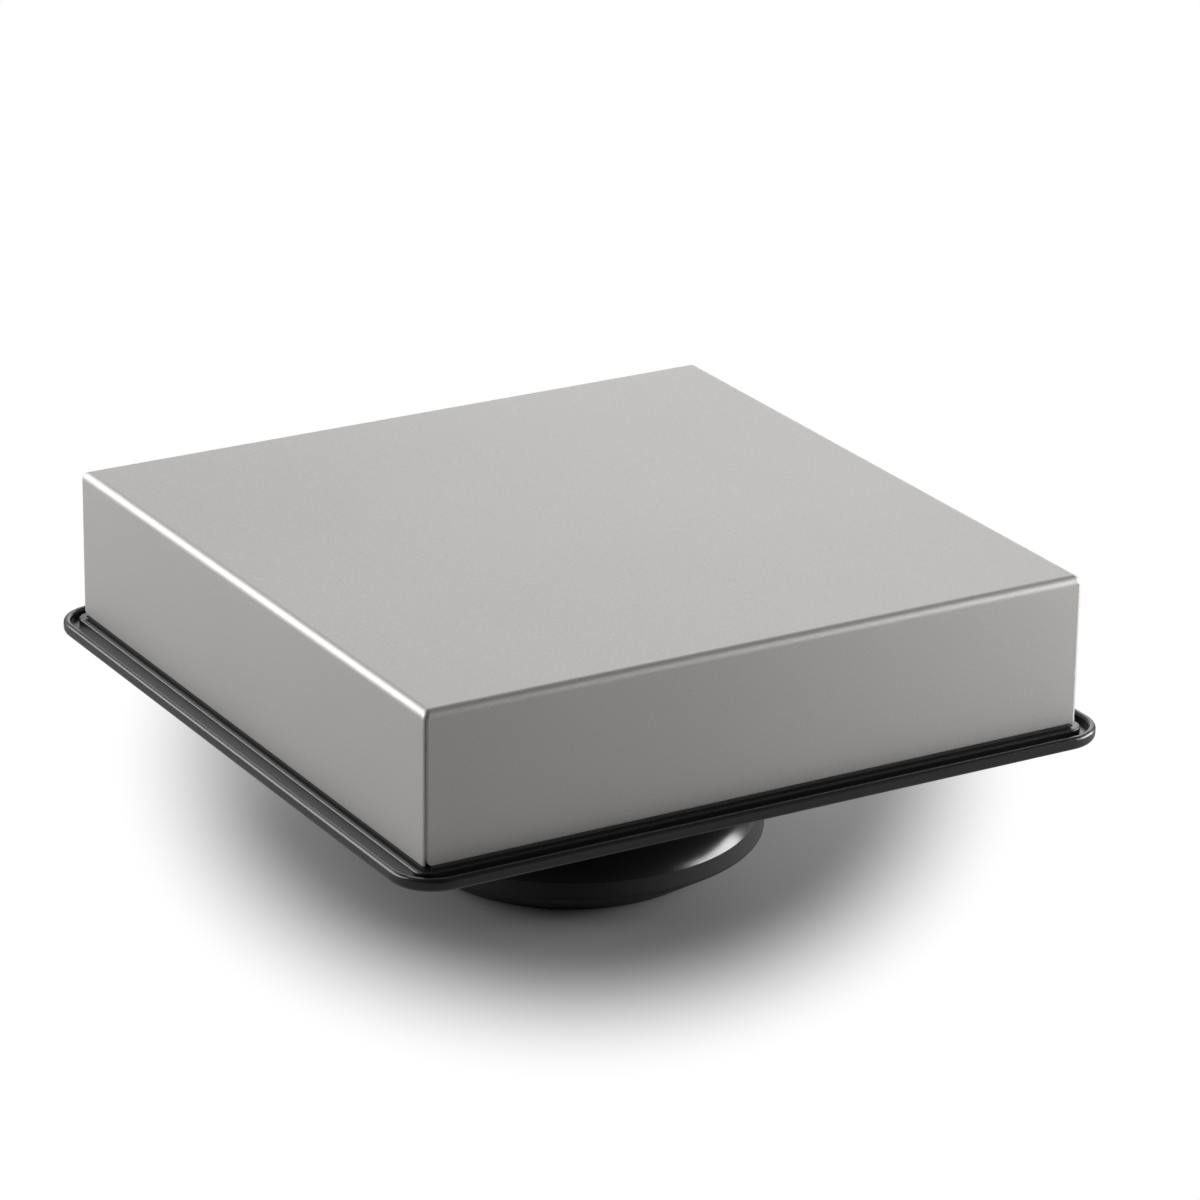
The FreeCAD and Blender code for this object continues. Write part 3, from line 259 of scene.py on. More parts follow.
@dataclass(frozen=True)
class Finish:
    """What every finish has: a name, a colour and a roughness."""

    name: str
    colour: RGB
    roughness: float = 0.5

    def paint(self, surface: Surface) -> None:
        """Wires the surface. Each finish has its own."""
        raise NotImplementedError

    def material(self) -> bpy.types.Material:
        """The finish's material, made once and shared."""
        made = bpy.data.materials.get(self.name)
        if made is None:
            surface = Surface(self.name)
            self.paint(surface)
            made = surface.material
        return made

    def shade(self, factor: float) -> RGB:
        """The finish's colour, darker or lighter by a factor."""
        return tuple(channel * factor for channel in self.colour)

    def toned(self, surface: Surface, mask: Wire, tones: Span) -> Wire:
        """The finish's colour, from its darkest tone at mask 0 to its palest at 1."""
        return surface.tint(mask, self.shade(tones[0]), self.shade(tones[1]))


@dataclass(frozen=True)
class BlastedMetal(Finish):
    """Sheet metal with a fine, even, blasted skin and a faint cloudiness."""

    metallic: float = 0.8
    grain: float = 0.26 * MM
    cloud: float = 55 * MM
    grain_strength: float = 1.7
    cloud_strength: float = 0.3
    tones: Span = (0.86, 1.14)
    flecks: Flecks = Flecks(9 * MM, 0.16 * MM, 0.22)
    fleck_colour: RGB = (0.75, 0.74, 0.72)
    fleck_strength: float = 0.45
    grain_gloss: float = 0.16
    fleck_gloss: float = 0.2
    grain_depth: float = 0.006 * MM
    wave: float = 18 * MM
    wave_depth: float = 0.02 * MM

    def paint(self, surface: Surface) -> None:
        """Grain in the colour, the roughness and the surface; a few pale flecks."""
        grain = surface.noise(self.grain, detail=1.0)
        cloud = surface.noise(self.cloud, detail=3.0)
        flecks = surface.specks(self.flecks)
        tone = (surface.swing(grain, self.grain_strength)
                + surface.swing(cloud, self.cloud_strength) + surface.MIDDLE)
        body = self.toned(surface, tone, self.tones)
        roughness = (self.roughness + surface.swing(grain, self.grain_gloss)
                     + flecks * self.fleck_gloss)
        wave = surface.bump(surface.noise(self.wave, detail=1.0), self.wave_depth)
        surface.set(Base_Color=surface.over(flecks * self.fleck_strength, body,
                                            self.fleck_colour),
                    Metallic=self.metallic, Roughness=roughness,
                    Normal=surface.bump(grain, self.grain_depth, wave))


@dataclass(frozen=True)
class MouldedPlastic(Finish):
    """Moulded plastic with the fine texture of its mould, and a little dust on top."""

    texture: float = 0.28 * MM
    depth: float = 0.010 * MM
    dust: float = 0.0
    shine: float = 0.5
    tones: Span = (0.85, 1.2)
    gloss: float = 16 * MM
    uneven_gloss: float = 0.10
    texture_gloss: float = 0.08
    fine_dust: Flecks = Flecks(1.6 * MM, 0.16 * MM, 0.12)
    coarse_dust: Flecks = Flecks(4.0 * MM, 0.36 * MM, 0.30)
    dust_slope: Span = (-0.1, 0.5)
    dust_colour: RGB = (0.42, 0.41, 0.38)
    dust_gloss: float = 0.4

    def paint(self, surface: Surface) -> None:
        """Mould texture, uneven gloss, and flecks of dust on what faces up."""
        texture = surface.noise(self.texture, detail=2.0)
        gloss = surface.noise(self.gloss, detail=2.0)
        colour = self.toned(surface, texture, self.tones)
        roughness = (self.roughness + surface.swing(gloss, self.uneven_gloss)
                     + surface.swing(texture, self.texture_gloss))
        if self.dust > 0:
            up = surface.add("SeparateXYZ", None,
                             {0: surface.add("NewGeometry", output="Normal")}, output=2)
            fine = surface.specks(self.fine_dust)
            coarse = surface.specks(self.coarse_dust)
            lint = (fine + coarse) * up.fade(*self.dust_slope) * self.dust
            colour = surface.over(lint, colour, self.dust_colour)
            roughness = roughness + lint * self.dust_gloss
        surface.set(Base_Color=colour, Roughness=roughness,
                    Specular_IOR_Level=self.shine,
                    Normal=surface.bump(texture, self.depth))


@dataclass(frozen=True)
class Rubber(Finish):
    """Soft rubber, matte, with a faint bloom."""

    bloom: float = 9 * MM
    tones: Span = (0.8, 1.35)
    bloom_gloss: float = 0.12
    shine: float = 0.35
    pore: float = 0.18 * MM
    pore_depth: float = 0.012 * MM

    def paint(self, surface: Surface) -> None:
        """Bloom in the colour over a fine, dry texture."""
        bloom = surface.noise(self.bloom, detail=4.0)
        pores = surface.noise(self.pore, detail=2.0)
        surface.set(Base_Color=self.toned(surface, bloom, self.tones),
                    Roughness=self.roughness + surface.swing(bloom, self.bloom_gloss),
                    Specular_IOR_Level=self.shine,
                    Normal=surface.bump(pores, self.pore_depth))


@dataclass(frozen=True)
class Foam(Finish):
    """Closed-cell foam: round pores close together."""

    cell: float = 0.35 * MM
    # From the painted shade at the pores' middles to the foam's palest tone between them.
    tones: Span = (0.5, 1.5)
    pore_depth: float = 0.06 * MM

    def paint(self, surface: Surface) -> None:
        """Pores that dent the surface, darker in colour where they dent: painted shade in the
        pores.
        """
        pores = surface.add("TexVoronoi", None,
                            {"Vector": surface.where, "Scale": 1 / self.cell})
        # The colour is darkest at the pores' middles, where the dents are deepest: painted
        # shade.
        surface.set(Base_Color=self.toned(surface, pores, self.tones),
                    Roughness=self.roughness,
                    Normal=surface.bump(pores, self.pore_depth))


@dataclass(frozen=True)
class MachinedMetal(Finish):
    """Plated, turned, extruded or stamped metal with streaks along one axis."""

    streak: RGB = (1, 1, 1)
    pitch: float = 0.5 * MM
    metallic: float = 1.0
    stain: float = 6 * MM
    tones: Span = (0.88, 1.08)
    streak_gloss: float = 0.2
    streak_depth: float = 0.008 * MM

    def paint(self, surface: Surface) -> None:
        """Streaks in the roughness and the surface, and a faint stain."""
        lines = surface.noise(self.pitch, 3.0, self.streak)
        stain = surface.noise(self.stain, detail=3.0)
        surface.set(Base_Color=self.toned(surface, stain, self.tones),
                    Metallic=self.metallic,
                    Roughness=self.roughness + surface.swing(lines, self.streak_gloss),
                    Normal=surface.bump(lines, self.streak_depth))


@dataclass(frozen=True)
class Laminate(Finish):
    """Circuit board: solder mask over copper tracks, with tinned pads."""

    track: float = 1.3 * MM
    pads: Flecks = Flecks(3.1 * MM, 0.42 * MM, 0.55)
    pad_colour: RGB = (0.55, 0.50, 0.38)
    pad_height: float = 0.6
    weave: float = 0.9 * MM
    weave_share: float = 0.2
    tones: Span = (0.75, 1.7)
    gloss: float = 0.1
    depth: float = 0.03 * MM

    def paint(self, surface: Surface) -> None:
        """Tracks that stand up under the mask, and small round pads."""
        tracks = surface.add("TexBrick", {"offset": 0.37, "squash": 1.0},
                             {"Vector": surface.where, "Scale": 1 / self.track,
                              "Mortar Size": 0.06, "Brick Width": 2.3,
                              "Row Height": 0.42}, output="Fac")
        pads = surface.specks(self.pads)
        weave = surface.noise(self.weave, detail=1.0)
        tone = tracks * (1 - self.weave_share) + weave * self.weave_share
        mask = self.toned(surface, tone, self.tones)
        surface.set(Base_Color=surface.over(pads, mask, self.pad_colour), Metallic=pads,
                    Roughness=(self.roughness - pads * self.gloss
                               + surface.swing(weave, self.gloss)),
                    Normal=surface.bump(tracks + pads * self.pad_height, self.depth))


@dataclass(frozen=True)
class ClearPlastic(Finish):
    """Clear or milky plastic that carries light."""

    clear: float = 0.8
    haze: float = 1.5 * MM
    tones: Span = (0.94, 1.0)
    haze_gloss: float = 0.08
    index: float = 1.49

    def paint(self, surface: Surface) -> None:
        """A clear body with a faint haze."""
        haze = surface.noise(self.haze, detail=3.0)
        surface.set(Base_Color=self.toned(surface, haze, self.tones),
                    Roughness=self.roughness + surface.swing(haze, self.haze_gloss),
                    Transmission_Weight=self.clear, IOR=self.index)


class Use(Enum):
    """Each finish on the node, named for what it dresses."""

    COVER = BlastedMetal("blasted_cover", (0.446, 0.438, 0.426), 0.55)
    STANDOFF = MachinedMetal("turned_steel", (0.60, 0.60, 0.58), 0.34, (1, 1, 14))
    GASKET = Foam("gasket_foam", (0.010, 0.010, 0.010), 0.92)
    BLACK_SCREW = MachinedMetal("black_screw", (0.035, 0.035, 0.037), 0.38,
                                metallic=0.6)
    SCREW = MachinedMetal("bright_screw", (0.62, 0.62, 0.60), 0.30)
    TRAY = MouldedPlastic("tray_plastic", (0.0045, 0.0044, 0.0047), 0.42, dust=1.0,
                          shine=0.35)
    PEDESTAL = MouldedPlastic("pedestal_plastic", (0.0070, 0.0068, 0.0073), 0.50,
                              depth=0.006 * MM, shine=0.38)
    PLATE = MachinedMetal("plate_steel", (0.50, 0.50, 0.49), 0.42, (1, 12, 1))
    BASE = Rubber("base_rubber", (0.0105, 0.0100, 0.0102), 0.78)
    PORT = MouldedPlastic("port_plastic", (0.0110, 0.0110, 0.0115), 0.48)
    BOARD = Laminate("board_laminate", (0.012, 0.085, 0.040), 0.38)
    SHIELD = MachinedMetal("tin_plate", (0.62, 0.62, 0.60), 0.34, (1, 9, 1))
    INSERT = MouldedPlastic("insert_plastic", (0.014, 0.014, 0.014), 0.5)
    CONTACT = MachinedMetal("gold_contact", (0.83, 0.60, 0.26), 0.26)
    PIN = MachinedMetal("nickel_pin", (0.66, 0.64, 0.60), 0.22)
    BUTTON = MouldedPlastic("button_plastic", (0.16, 0.16, 0.157), 0.45)
    SWITCH = MouldedPlastic("switch_plastic", (0.020, 0.020, 0.020), 0.5)
    LAMP = ClearPlastic("milky_lamp", (0.85, 0.85, 0.80), 0.35, 0.3)
    PIPE = ClearPlastic("clear_pipe", (0.92, 0.94, 0.95), 0.12, 0.9)
    CHIP = MouldedPlastic("chip_resin", (0.020, 0.020, 0.022), 0.55)
    CHIP_LID = MachinedMetal("chip_lid", (0.55, 0.55, 0.54), 0.40, (9, 1, 1))
    PAD = Rubber("thermal_pad", (0.30, 0.34, 0.42), 0.85)
    SINK = MachinedMetal("sink_metal", (0.62, 0.62, 0.61), 0.40, (1, 0.08, 6))
    CAN = MachinedMetal("can_metal", (0.60, 0.60, 0.58), 0.32, (9, 1, 1))
    CAPACITOR = MachinedMetal("capacitor_can", (0.62, 0.62, 0.62), 0.36, (1, 1, 0.2))
    COIL = MouldedPlastic("coil_powder", (0.055, 0.055, 0.058), 0.62)
    RISER = MouldedPlastic("riser_plastic", (0.014, 0.014, 0.014), 0.5)
    ANTENNA = MachinedMetal("antenna_strip", (0.66, 0.60, 0.46), 0.30, (1, 9, 1))
    LEAD = MouldedPlastic("lead_jacket", (0.018, 0.018, 0.018), 0.5)
    CERAMIC = MouldedPlastic("chip_ceramic", (0.23, 0.16, 0.09), 0.45)
    SOLDER = MachinedMetal("solder", (0.66, 0.66, 0.65), 0.24)


def dress(use: Use, *nodes: str) -> None:
    """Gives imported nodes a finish.

    Args:
        use: the finish.
        nodes: the nodes' names.
    """
    for node in nodes:
        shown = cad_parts[node]
        for place in shown.material_slots:
            place.link = "OBJECT"
            place.material = use.value.material()
        log.info("%s: %s", node, use.value.name)


# ---- pieces made by geometry nodes -------------------------------------------

class Recipe(Graph):
    """A geometry node tree with named sizes, which makes one plain mesh."""

    prefix = "GeometryNode"
    KINDS = {float: "NodeSocketFloat", int: "NodeSocketInt"}

    def __init__(self, name: str, **sizes: Union[float, int]) -> None:
        """Makes the tree.

        Args:
            name: the name of the tree and of the piece that it makes.
            sizes: the tree's inputs and the values that this piece has.
        """
        self.name = name
        self.sizes = sizes
        tree = bpy.data.node_groups.new(name, "GeometryNodeTree")
        super().__init__(tree)
        self.sockets = {}
        for size, value in sizes.items():
            self.sockets[size] = tree.interface.new_socket(
                size, in_out="INPUT", socket_type=self.KINDS[type(value)])
        tree.interface.new_socket("Geometry", in_out="OUTPUT",
                                  socket_type="NodeSocketGeometry")
        self.inputs = tree.nodes.new("NodeGroupInput")
        self.result = tree.nodes.new("NodeGroupOutput")

    def size(self, name: str) -> Wire:
        """One of the tree's inputs."""
        return Wire(self, self.inputs.outputs[name])

    def vector(self, x: Number, y: Number, z: Number) -> Wire:
        """A vector from three values."""
        return self.add("CombineXYZ", None, {0: x, 1: y, 2: z})

    def block(self, x: Number, y: Number, z: Number) -> Wire:
        """A box with its middle at the origin."""
        return self.add("MeshCube", None, {"Size": self.vector(x, y, z)})

    def copies(self, points: Wire, shape: Wire, use: Use,
               **values: Any) -> Wire:
        """A shape on every point, made real and dressed.

        Args:
            points: where the copies go.
            shape: what is copied.
            use: its finish.
            values: more sockets of the Instance on Points node.

        Returns:
            Plain geometry.
        """
        laid = self.add("InstanceOnPoints", None,
                        {"Points": points, "Instance": shape, **values})
        real = self.add("RealizeInstances", None, {0: laid})
        return self.finish(real, use)

    def finish(self, shape: Wire, use: Use) -> Wire:
        """Gives geometry a finish."""
        return self.add("SetMaterial", None,
                        {"Geometry": shape, "Material": use.value.material()})

    def join(self, *shapes: Wire) -> Wire:
        """Several geometries as one."""
        node = self.place("JoinGeometry")
        for shape in reversed(shapes):
            self.tree.links.new(shape.socket, node.inputs[0])
        return Wire(self, node.outputs[0])

    def make(self, result: Wire, smooth: bool = False) -> bpy.types.Object:
        """Runs the tree and keeps its result as a plain mesh.

        Args:
            result: the geometry to keep.
            smooth: whether its faces are shaded smooth.

        Returns:
            The piece, at the origin, with no modifier.
        """
        self.tree.links.new(result.socket, self.result.inputs[0])
        seed = bpy.data.objects.new(self.name + "_seed", bpy.data.meshes.new(self.name))
        bpy.context.scene.collection.objects.link(seed)
        maker = seed.modifiers.new("recipe", "NODES")
        maker.node_group = self.tree
        for name, value in self.sizes.items():
            maker[self.sockets[name].identifier] = value
        bpy.context.view_layer.update()
        graph = bpy.context.evaluated_depsgraph_get()
        mesh = bpy.data.meshes.new_from_object(seed.evaluated_get(graph))
        mesh.name = self.name
        bpy.data.objects.remove(seed)
        piece = bpy.data.objects.new(self.name, mesh)
        bpy.context.scene.collection.objects.link(piece)
        for face in mesh.polygons:
            face.use_smooth = smooth
        return piece


def settle(piece: bpy.types.Object, place: Vector, body: str = "root",
           stands_for: tuple[str, ...] = ()) -> bpy.types.Object:
    """Moves a piece's mesh to its place and ties it to a body.

    Args:
        piece: the piece, made about the origin.
        place: where its origin goes.
        body: the body that it rides on.
        stands_for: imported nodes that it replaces.

    Returns:
        The piece.
    """
    piece.data.transform(Matrix.Translation(place))
    piece.data.update()
    if stands_for:
        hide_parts(*stands_for)
    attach(piece, body)
    log.info("%s: %d faces on %s", piece.name, len(piece.data.polygons), body)
    return piece


# ---- the sub-assemblies ------------------------------------------------------

@dataclass
class Cover:
    """The folded cover, its standoffs and the gasket under its edge."""

    gasket_round: float = 0.25 * MM
    gasket_width: float = 0.7 * MM
    corner_steps: int = 6
    edge_steps: int = 3

    def gasket(self) -> bpy.types.Object:
        """The foam gasket: a rounded strip swept round the groove."""
        low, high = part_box("cover_gasket")
        recipe = Recipe("gasket_strip", Span=high.x - low.x - self.gasket_width,
                        Width=self.gasket_width, Height=high.z - low.z,
                        Corner=self.gasket_round + self.gasket_width)
        outline = recipe.add("CurvePrimitiveQuadrilateral", None,
                             {"Width": recipe.size("Span"), "Height": recipe.size("Span")})
        outline = recipe.add("FilletCurve", {"mode": "POLY"},
                             {"Curve": outline, "Radius": recipe.size("Corner"),
                              "Count": self.corner_steps})
        section = recipe.add("CurvePrimitiveQuadrilateral", None,
                             {"Width": recipe.size("Width"),
                              "Height": recipe.size("Height")})
        section = recipe.add("FilletCurve", {"mode": "POLY"},
                             {"Curve": section, "Radius": self.gasket_round,
                              "Count": self.edge_steps})
        strip = recipe.add("CurveToMesh", None,
                           {"Curve": outline, "Profile Curve": section})
        strip = recipe.finish(recipe.add("RealizeInstances", None, {0: strip}),
                              Use.GASKET)
        piece = recipe.make(strip)
        middle = Vector((0, 0, (low.z + high.z) / 2))
        return settle(piece, middle,
                      stands_for=("cover_gasket",))

    def build(self) -> None:
        """Dresses the cover and lays its gasket."""
        dress(Use.COVER, "cover_shell")
        dress(Use.STANDOFF, "cover_standoffs")
        dress(Use.BLACK_SCREW, "cover_screws")
        self.gasket()


@dataclass
class Stand:
    """The tray, the pedestal under it, and the foot."""

    def build(self) -> None:
        """Dresses the tray, the pedestal and the foot."""
        dress(Use.TRAY, "base_tray")
        dress(Use.PEDESTAL, "pedestal")
        dress(Use.PLATE, "foot_plate")
        dress(Use.BASE, "rubber_base")
        dress(Use.SCREW, "tray_screws", "foot_screws")


@dataclass
class Ports:
    """The sockets, the pair button and the lamp at the back of the neck."""

    joint_radius: float = 0.42 * MM
    contact_pitch: float = 1.02 * MM
    row_joints: int = 4
    row_gap: float = 2.5 * MM
    row_back: float = 2.0 * MM
    bead_top: float = 0.45
    bead_height: float = 1.4
    bead_sides: int = 10

    def solder(self) -> bpy.types.Object:
        """Solder joints under the network socket's eight contacts, in two rows."""
        recipe = Recipe("socket_solder", Pitch=self.contact_pitch * 2,
                        Radius=self.joint_radius, Row=self.row_gap)
        row = recipe.add("MeshLine", None,
                         {"Count": self.row_joints,
                          "Offset": recipe.vector(recipe.size("Pitch"), 0, 0)})
        other = recipe.add("Transform", None,
                           {"Geometry": row,
                            "Translation": recipe.vector(self.contact_pitch,
                                                         recipe.size("Row"), 0)})
        bead = recipe.add("MeshCone", None,
                          {"Vertices": self.bead_sides, "Side Segments": 2,
                           "Radius Top": recipe.size("Radius") * self.bead_top,
                           "Radius Bottom": recipe.size("Radius"),
                           "Depth": recipe.size("Radius") * self.bead_height})
        beads = recipe.copies(recipe.join(row, other), bead, Use.SOLDER,
                              Rotation=(math.pi, 0, 0))
        piece = recipe.make(beads, smooth=True)
        place = Vector((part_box("ethernet_contacts")[0].x,
                        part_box("ethernet_insert")[0].y + self.row_back,
                        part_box("port_board")[0].z))
        return settle(piece, place)

    def build(self) -> None:
        """Dresses the sockets and the controls, and adds the solder joints."""
        dress(Use.PORT, "port_plate")
        dress(Use.BOARD, "port_board")
        dress(Use.SCREW, "port_screws")
        dress(Use.SHIELD, "ethernet_shield")
        dress(Use.INSERT, "ethernet_insert", "power_socket")
        dress(Use.CONTACT, "ethernet_contacts")
        dress(Use.PIN, "power_pin")
        dress(Use.BUTTON, "pair_button", "reset_plunger")
        dress(Use.SWITCH, "pair_switch", "pair_plunger", "reset_switch")
        dress(Use.LAMP, "status_led")
        dress(Use.PIPE, "light_pipe")
        self.solder()


@dataclass
class Board:
    """The main board, what it carries, and the riser below it."""

    chip_length: float = 1.6 * MM
    chip_width: float = 0.8 * MM
    chip_height: float = 0.5 * MM
    chip_pitch: float = 2.6 * MM
    kept: float = 0.62
    edge: float = 4.0 * MM
    cap_share: float = 0.2
    body_share: RGB = (0.7, 0.96, 0.94)
    side_share: float = 0.6
    side_depth: float = 26 * MM
    side_start: float = 14 * MM
    back_share: float = 0.7
    back_width: float = 48 * MM
    front_size: Span = (14 * MM, 10 * MM)
    front_left: float = 32 * MM
    front_gap: float = 2 * MM
    first_seed: int = 7

    def strip(self, name: str, middle: Vector, width: float, depth: float,
              seed: int) -> bpy.types.Object:
        """A patch of small ceramic chips with tinned ends, in rows with gaps.

        Args:
            name: the piece's name.
            middle: the patch's middle, on the board.
            width: its size along X.
            depth: its size along Y.
            seed: the seed of the gaps.

        Returns:
            The piece.
        """
        recipe = Recipe(name, Width=width, Depth=depth, Pitch=self.chip_pitch,
                        Kept=self.kept, Seed=seed, Length=self.chip_length,
                        Across=self.chip_width, Height=self.chip_height)
        columns = recipe.size("Width") / recipe.size("Pitch")
        rows = recipe.size("Depth") / recipe.size("Pitch")
        grid = recipe.add("MeshGrid", None,
                          {"Size X": recipe.size("Width"), "Size Y": recipe.size("Depth"),
                           "Vertices X": columns, "Vertices Y": rows})
        chance = recipe.add("RandomValue", {"data_type": "FLOAT"},
                            {"Seed": recipe.size("Seed")}, output=1)
        keep = chance < recipe.size("Kept")
        half = recipe.size("Length") * 0.5
        cap = recipe.size("Length") * self.cap_share
        height = recipe.size("Height")
        along, across, up = self.body_share
        body = recipe.block(recipe.size("Length") * along, recipe.size("Across") * across,
                            height * up)
        end = recipe.block(cap, recipe.size("Across"), height)
        left = recipe.add("Transform", None,
                          {"Geometry": end,
                           "Translation": recipe.vector(cap * 0.5 - half, 0, 0)})
        right = recipe.add("Transform", None,
                           {"Geometry": end,
                            "Translation": recipe.vector(half - cap * 0.5, 0, 0)})
        both = recipe.join(
            recipe.copies(grid, body, Use.CERAMIC, Selection=keep),
            recipe.copies(grid, recipe.join(left, right), Use.SOLDER, Selection=keep))
        piece = recipe.make(both)
        return settle(piece, middle + Vector((0, 0, self.chip_height / 2)))

    def chips(self) -> None:
        """Patches of small chips where the board is clear."""
        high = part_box("main_board")[1]
        sink_low, sink_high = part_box("heat_sink")
        side_width = (high.x - sink_high.x - self.edge) * self.side_share
        side_x = (high.x + sink_high.x) / 2
        side_y = sink_low.y + self.side_start
        behind = high.y - sink_high.y - self.edge
        back_y = high.y - behind / 2 - self.edge / 2
        front_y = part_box("capacitors")[0].y + self.front_gap
        patches = [
            ("chips_right", side_x, side_y, side_width, self.side_depth),
            ("chips_left", -side_x, side_y, side_width, self.side_depth),
            ("chips_back", 0, back_y, self.back_width, behind * self.back_share),
            ("chips_front", -self.front_left, front_y, *self.front_size),
        ]
        for number, (name, x, y, width, depth) in enumerate(patches):
            self.strip(name, Vector((x, y, high.z)), width, depth,
                       seed=self.first_seed + number)

    def build(self) -> None:
        """Dresses the board and lays its small chips."""
        dress(Use.BOARD, "main_board")
        dress(Use.SCREW, "board_screws", "sink_screws")
        dress(Use.CHIP_LID, "processor")
        dress(Use.CHIP, "memory_chips", "radio_chips")
        dress(Use.CAN, "radio_can_left", "radio_can_right")
        dress(Use.PAD, "thermal_pads")
        dress(Use.SINK, "heat_sink")
        dress(Use.CAPACITOR, "capacitors")
        dress(Use.COIL, "inductors")
        dress(Use.RISER, "riser_sockets", "riser_spacer")
        dress(Use.CONTACT, "riser_pins")
        self.chips()


@dataclass
class Aerials:
    """The four antenna strips, their leads and the leads' plugs."""

    sides: tuple[str, ...] = ("front", "right", "back", "left")

    def build(self) -> None:
        """Dresses the strips, leads and plugs."""
        for side in self.sides:
            dress(Use.ANTENNA, "antenna_" + side)
            dress(Use.LEAD, "antenna_lead_" + side)
        dress(Use.CONTACT, "antenna_plugs")


# ---- studio ------------------------------------------------------------------

@dataclass
class Lamp:
    """One soft panel light."""

    name: str
    place: Vector
    aim: Vector
    width: float
    height: float
    watts: float

    def hang(self) -> None:
        """Makes the light."""
        data = bpy.data.lights.new(self.name, "AREA")
        data.shape = "RECTANGLE"
        data.size = self.width
        data.size_y = self.height
        data.energy = self.watts
        lamp = bpy.data.objects.new(self.name, data)
        lamp.visible_camera = False
        bpy.context.scene.collection.objects.link(lamp)
        lamp.location = self.place
        lamp.rotation_euler = (self.aim - self.place).to_track_quat("-Z", "Y").to_euler()


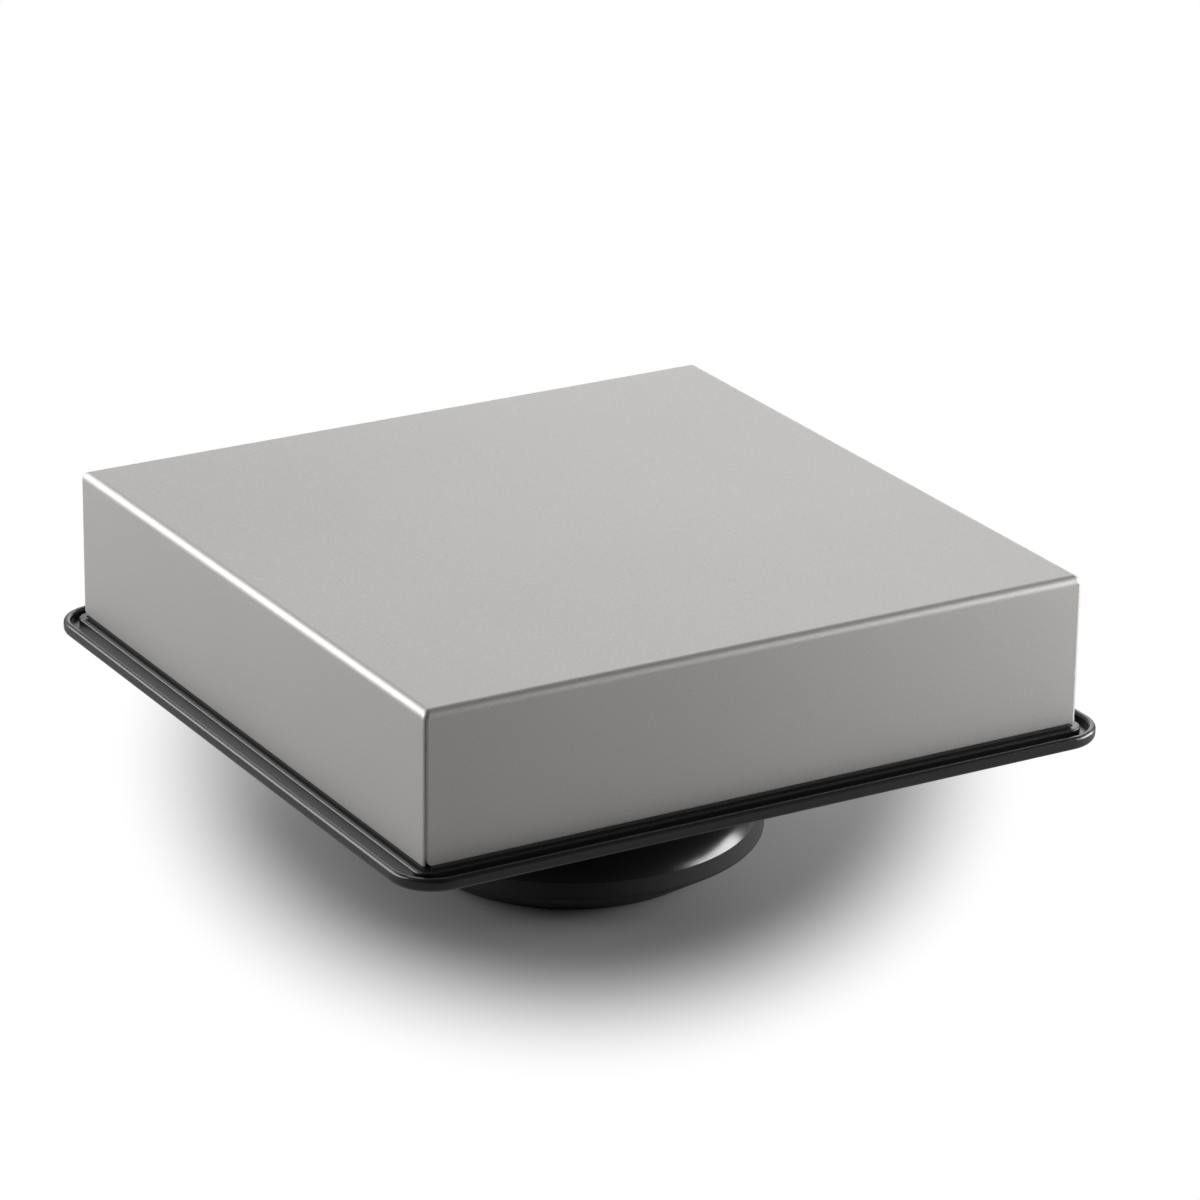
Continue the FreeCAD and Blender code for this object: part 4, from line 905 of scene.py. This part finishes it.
@dataclass
class Studio:
    """The floor, the lights, the background and the camera."""

    floor_side: float = 6.0
    # The floor's grey: partly its own colour, partly painted shade that darkens the painted
    # shadow pool round the object.
    floor_colour_and_painted_shade: RGB = (0.36, 0.36, 0.36)
    # The painted shadow pool: an ellipse about the object, outside which the floor fades to
    # white. These set where the fade runs, how much longer the ellipse is one way, how far
    # its middle lies back from the camera, and how much of the white glossy rays see.
    painted_shadow_fade: Span = (0.102, 0.156)
    painted_shadow_stretch: float = 1.78
    painted_shadow_back: float = 0.060
    painted_shadow_glossy: float = 0.08
    world_light: float = 0.05
    azimuth: float = math.radians(-120.658)
    elevation: float = math.radians(21.325)
    roll: float = math.radians(0.854)
    reach: float = 7.3769
    aim: RGB = (0.0258, -0.0377, 0.1065)
    lens: float = 161.83
    lamp_aim: float = 0.05

    def floor(self) -> None:
        """A mid-grey floor that keeps the lamps' shadow; inside an ellipse about the object
        its grey stands as a painted shadow, and further away it turns to plain white.
        """
        half = self.floor_side / 2
        mesh = bpy.data.meshes.new("studio_floor")
        corners = [(-half, -half, 0), (half, -half, 0), (half, half, 0), (-half, half, 0)]
        mesh.from_pydata(corners, [], [(0, 1, 2, 3)])
        plane = bpy.data.objects.new("studio_floor", mesh)
        bpy.context.scene.collection.objects.link(plane)
        surface = Surface("studio_floor")
        surface.set(Base_Color=(*self.floor_colour_and_painted_shade, 1.0), Roughness=0.9,
                    Specular_IOR_Level=0.1)
        middle = (-self.painted_shadow_back * math.cos(self.azimuth),
                  -self.painted_shadow_back * math.sin(self.azimuth), 0)
        # The painted shadow's ellipse, turned with the camera's azimuth.
        flat = surface.add("Mapping", {"vector_type": "TEXTURE"},
                           {"Vector": surface.where, "Location": middle,
                            "Rotation": (0, 0, self.azimuth),
                            "Scale": (1.0, 1 / self.painted_shadow_stretch, 1.0)})
        painted_shadow_distance = surface.add("VectorMath", {"operation": "LENGTH"}, {0: flat}, output=1)
        white = surface.place("Emission", None, {"Color": (1, 1, 1, 1), "Strength": 1.0})
        path = surface.place("LightPath")
        seen = Wire(surface, path.outputs["Is Camera Ray"])
        glossy = Wire(surface, path.outputs["Is Glossy Ray"])
        # share is 0 inside the painted shadow pool, where the grey floor shows as painted
        # shadow, and 1 beyond it, where the camera sees white.
        share = painted_shadow_distance.fade(*self.painted_shadow_fade) * (seen + glossy * self.painted_shadow_glossy)
        mix = surface.place("MixShader", None, {0: share})
        surface.tree.links.new(surface.shader.outputs[0], mix.inputs[1])
        surface.tree.links.new(white.outputs[0], mix.inputs[2])
        surface.tree.links.new(mix.outputs[0], surface.output.inputs["Surface"])
        mesh.materials.append(surface.material)

    def world(self) -> None:
        """White where the camera or a clear part sees it, and elsewhere a plain level."""
        world = bpy.data.worlds.new("studio")
        bpy.context.scene.world = world
        world.use_nodes = True
        graph = Graph(world.node_tree)
        path = graph.place("LightPath")
        seen = Wire(graph, path.outputs["Is Camera Ray"])
        clear = Wire(graph, path.outputs["Is Transmission Ray"])
        level = self.world_light + (seen + clear) * (1 - self.world_light)
        light = graph.place("Background", None, {"Color": (1, 1, 1, 1),
                                                 "Strength": level})
        out = graph.place("OutputWorld")
        graph.tree.links.new(light.outputs[0], out.inputs[0])

    def lights(self) -> None:
        """Soft panels: three large ones behind, one at the left, a small one at the right."""
        aim = Vector((0, 0, self.lamp_aim))
        Lamp("low_back_panel", Vector((0.2, 1.3, 0.45)), aim, 1.6, 0.5, 2.0).hang()
        Lamp("back_right_panel", Vector((0.9, 0.9, 0.6)), aim, 1.0, 0.8, 4.0).hang()
        Lamp("high_back_panel", Vector((0.6, 1.0, 1.0)), aim, 1.4, 1.2, 2.2).hang()
        Lamp("right_panel", Vector((0.38, -0.16, 0.12)), aim, 0.3, 0.2, 2.5).hang()
        Lamp("left_panel", Vector((-0.45, 0.35, 0.35)), aim, 0.7, 0.5, 6.0).hang()

    def camera(self) -> None:
        """The camera, placed in widths of the cover from the middle of its lower edge."""
        low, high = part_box("cover_shell")
        width = high.x - low.x
        base = Vector(((low.x + high.x) / 2, (low.y + high.y) / 2, low.z))
        target = base + Vector(self.aim) * width
        level = math.cos(self.elevation)
        towards = Vector((level * math.cos(self.azimuth), level * math.sin(self.azimuth),
                          math.sin(self.elevation)))
        place = target + towards * self.reach * width
        across = (-towards).cross(Vector((0, 0, 1))).normalized()
        upward = across.cross(-towards)
        tilted = across * math.cos(self.roll) + upward * math.sin(self.roll)
        upright = upward * math.cos(self.roll) - across * math.sin(self.roll)
        data = bpy.data.cameras.new("camera")
        data.lens = self.lens
        data.clip_start = 0.01
        camera = bpy.data.objects.new("camera", data)
        bpy.context.scene.collection.objects.link(camera)
        turn = Matrix((tilted, upright, towards)).transposed().to_4x4()
        camera.matrix_world = Matrix.Translation(place) @ turn
        bpy.context.scene.camera = camera

    def build(self) -> None:
        """Sets up the whole studio."""
        bpy.context.scene.view_settings.view_transform = "Standard"
        self.camera()
        self.floor()
        self.world()
        self.lights()


def main() -> None:
    """Builds the sub-assemblies in order."""
    logging.basicConfig(level=logging.INFO, format="%(message)s")
    for part in (Studio(), Cover(), Stand(), Ports(), Board(), Aerials()):
        part.build()
        log.info("%s built", type(part).__name__)


if __name__ == "__main__":
    main()
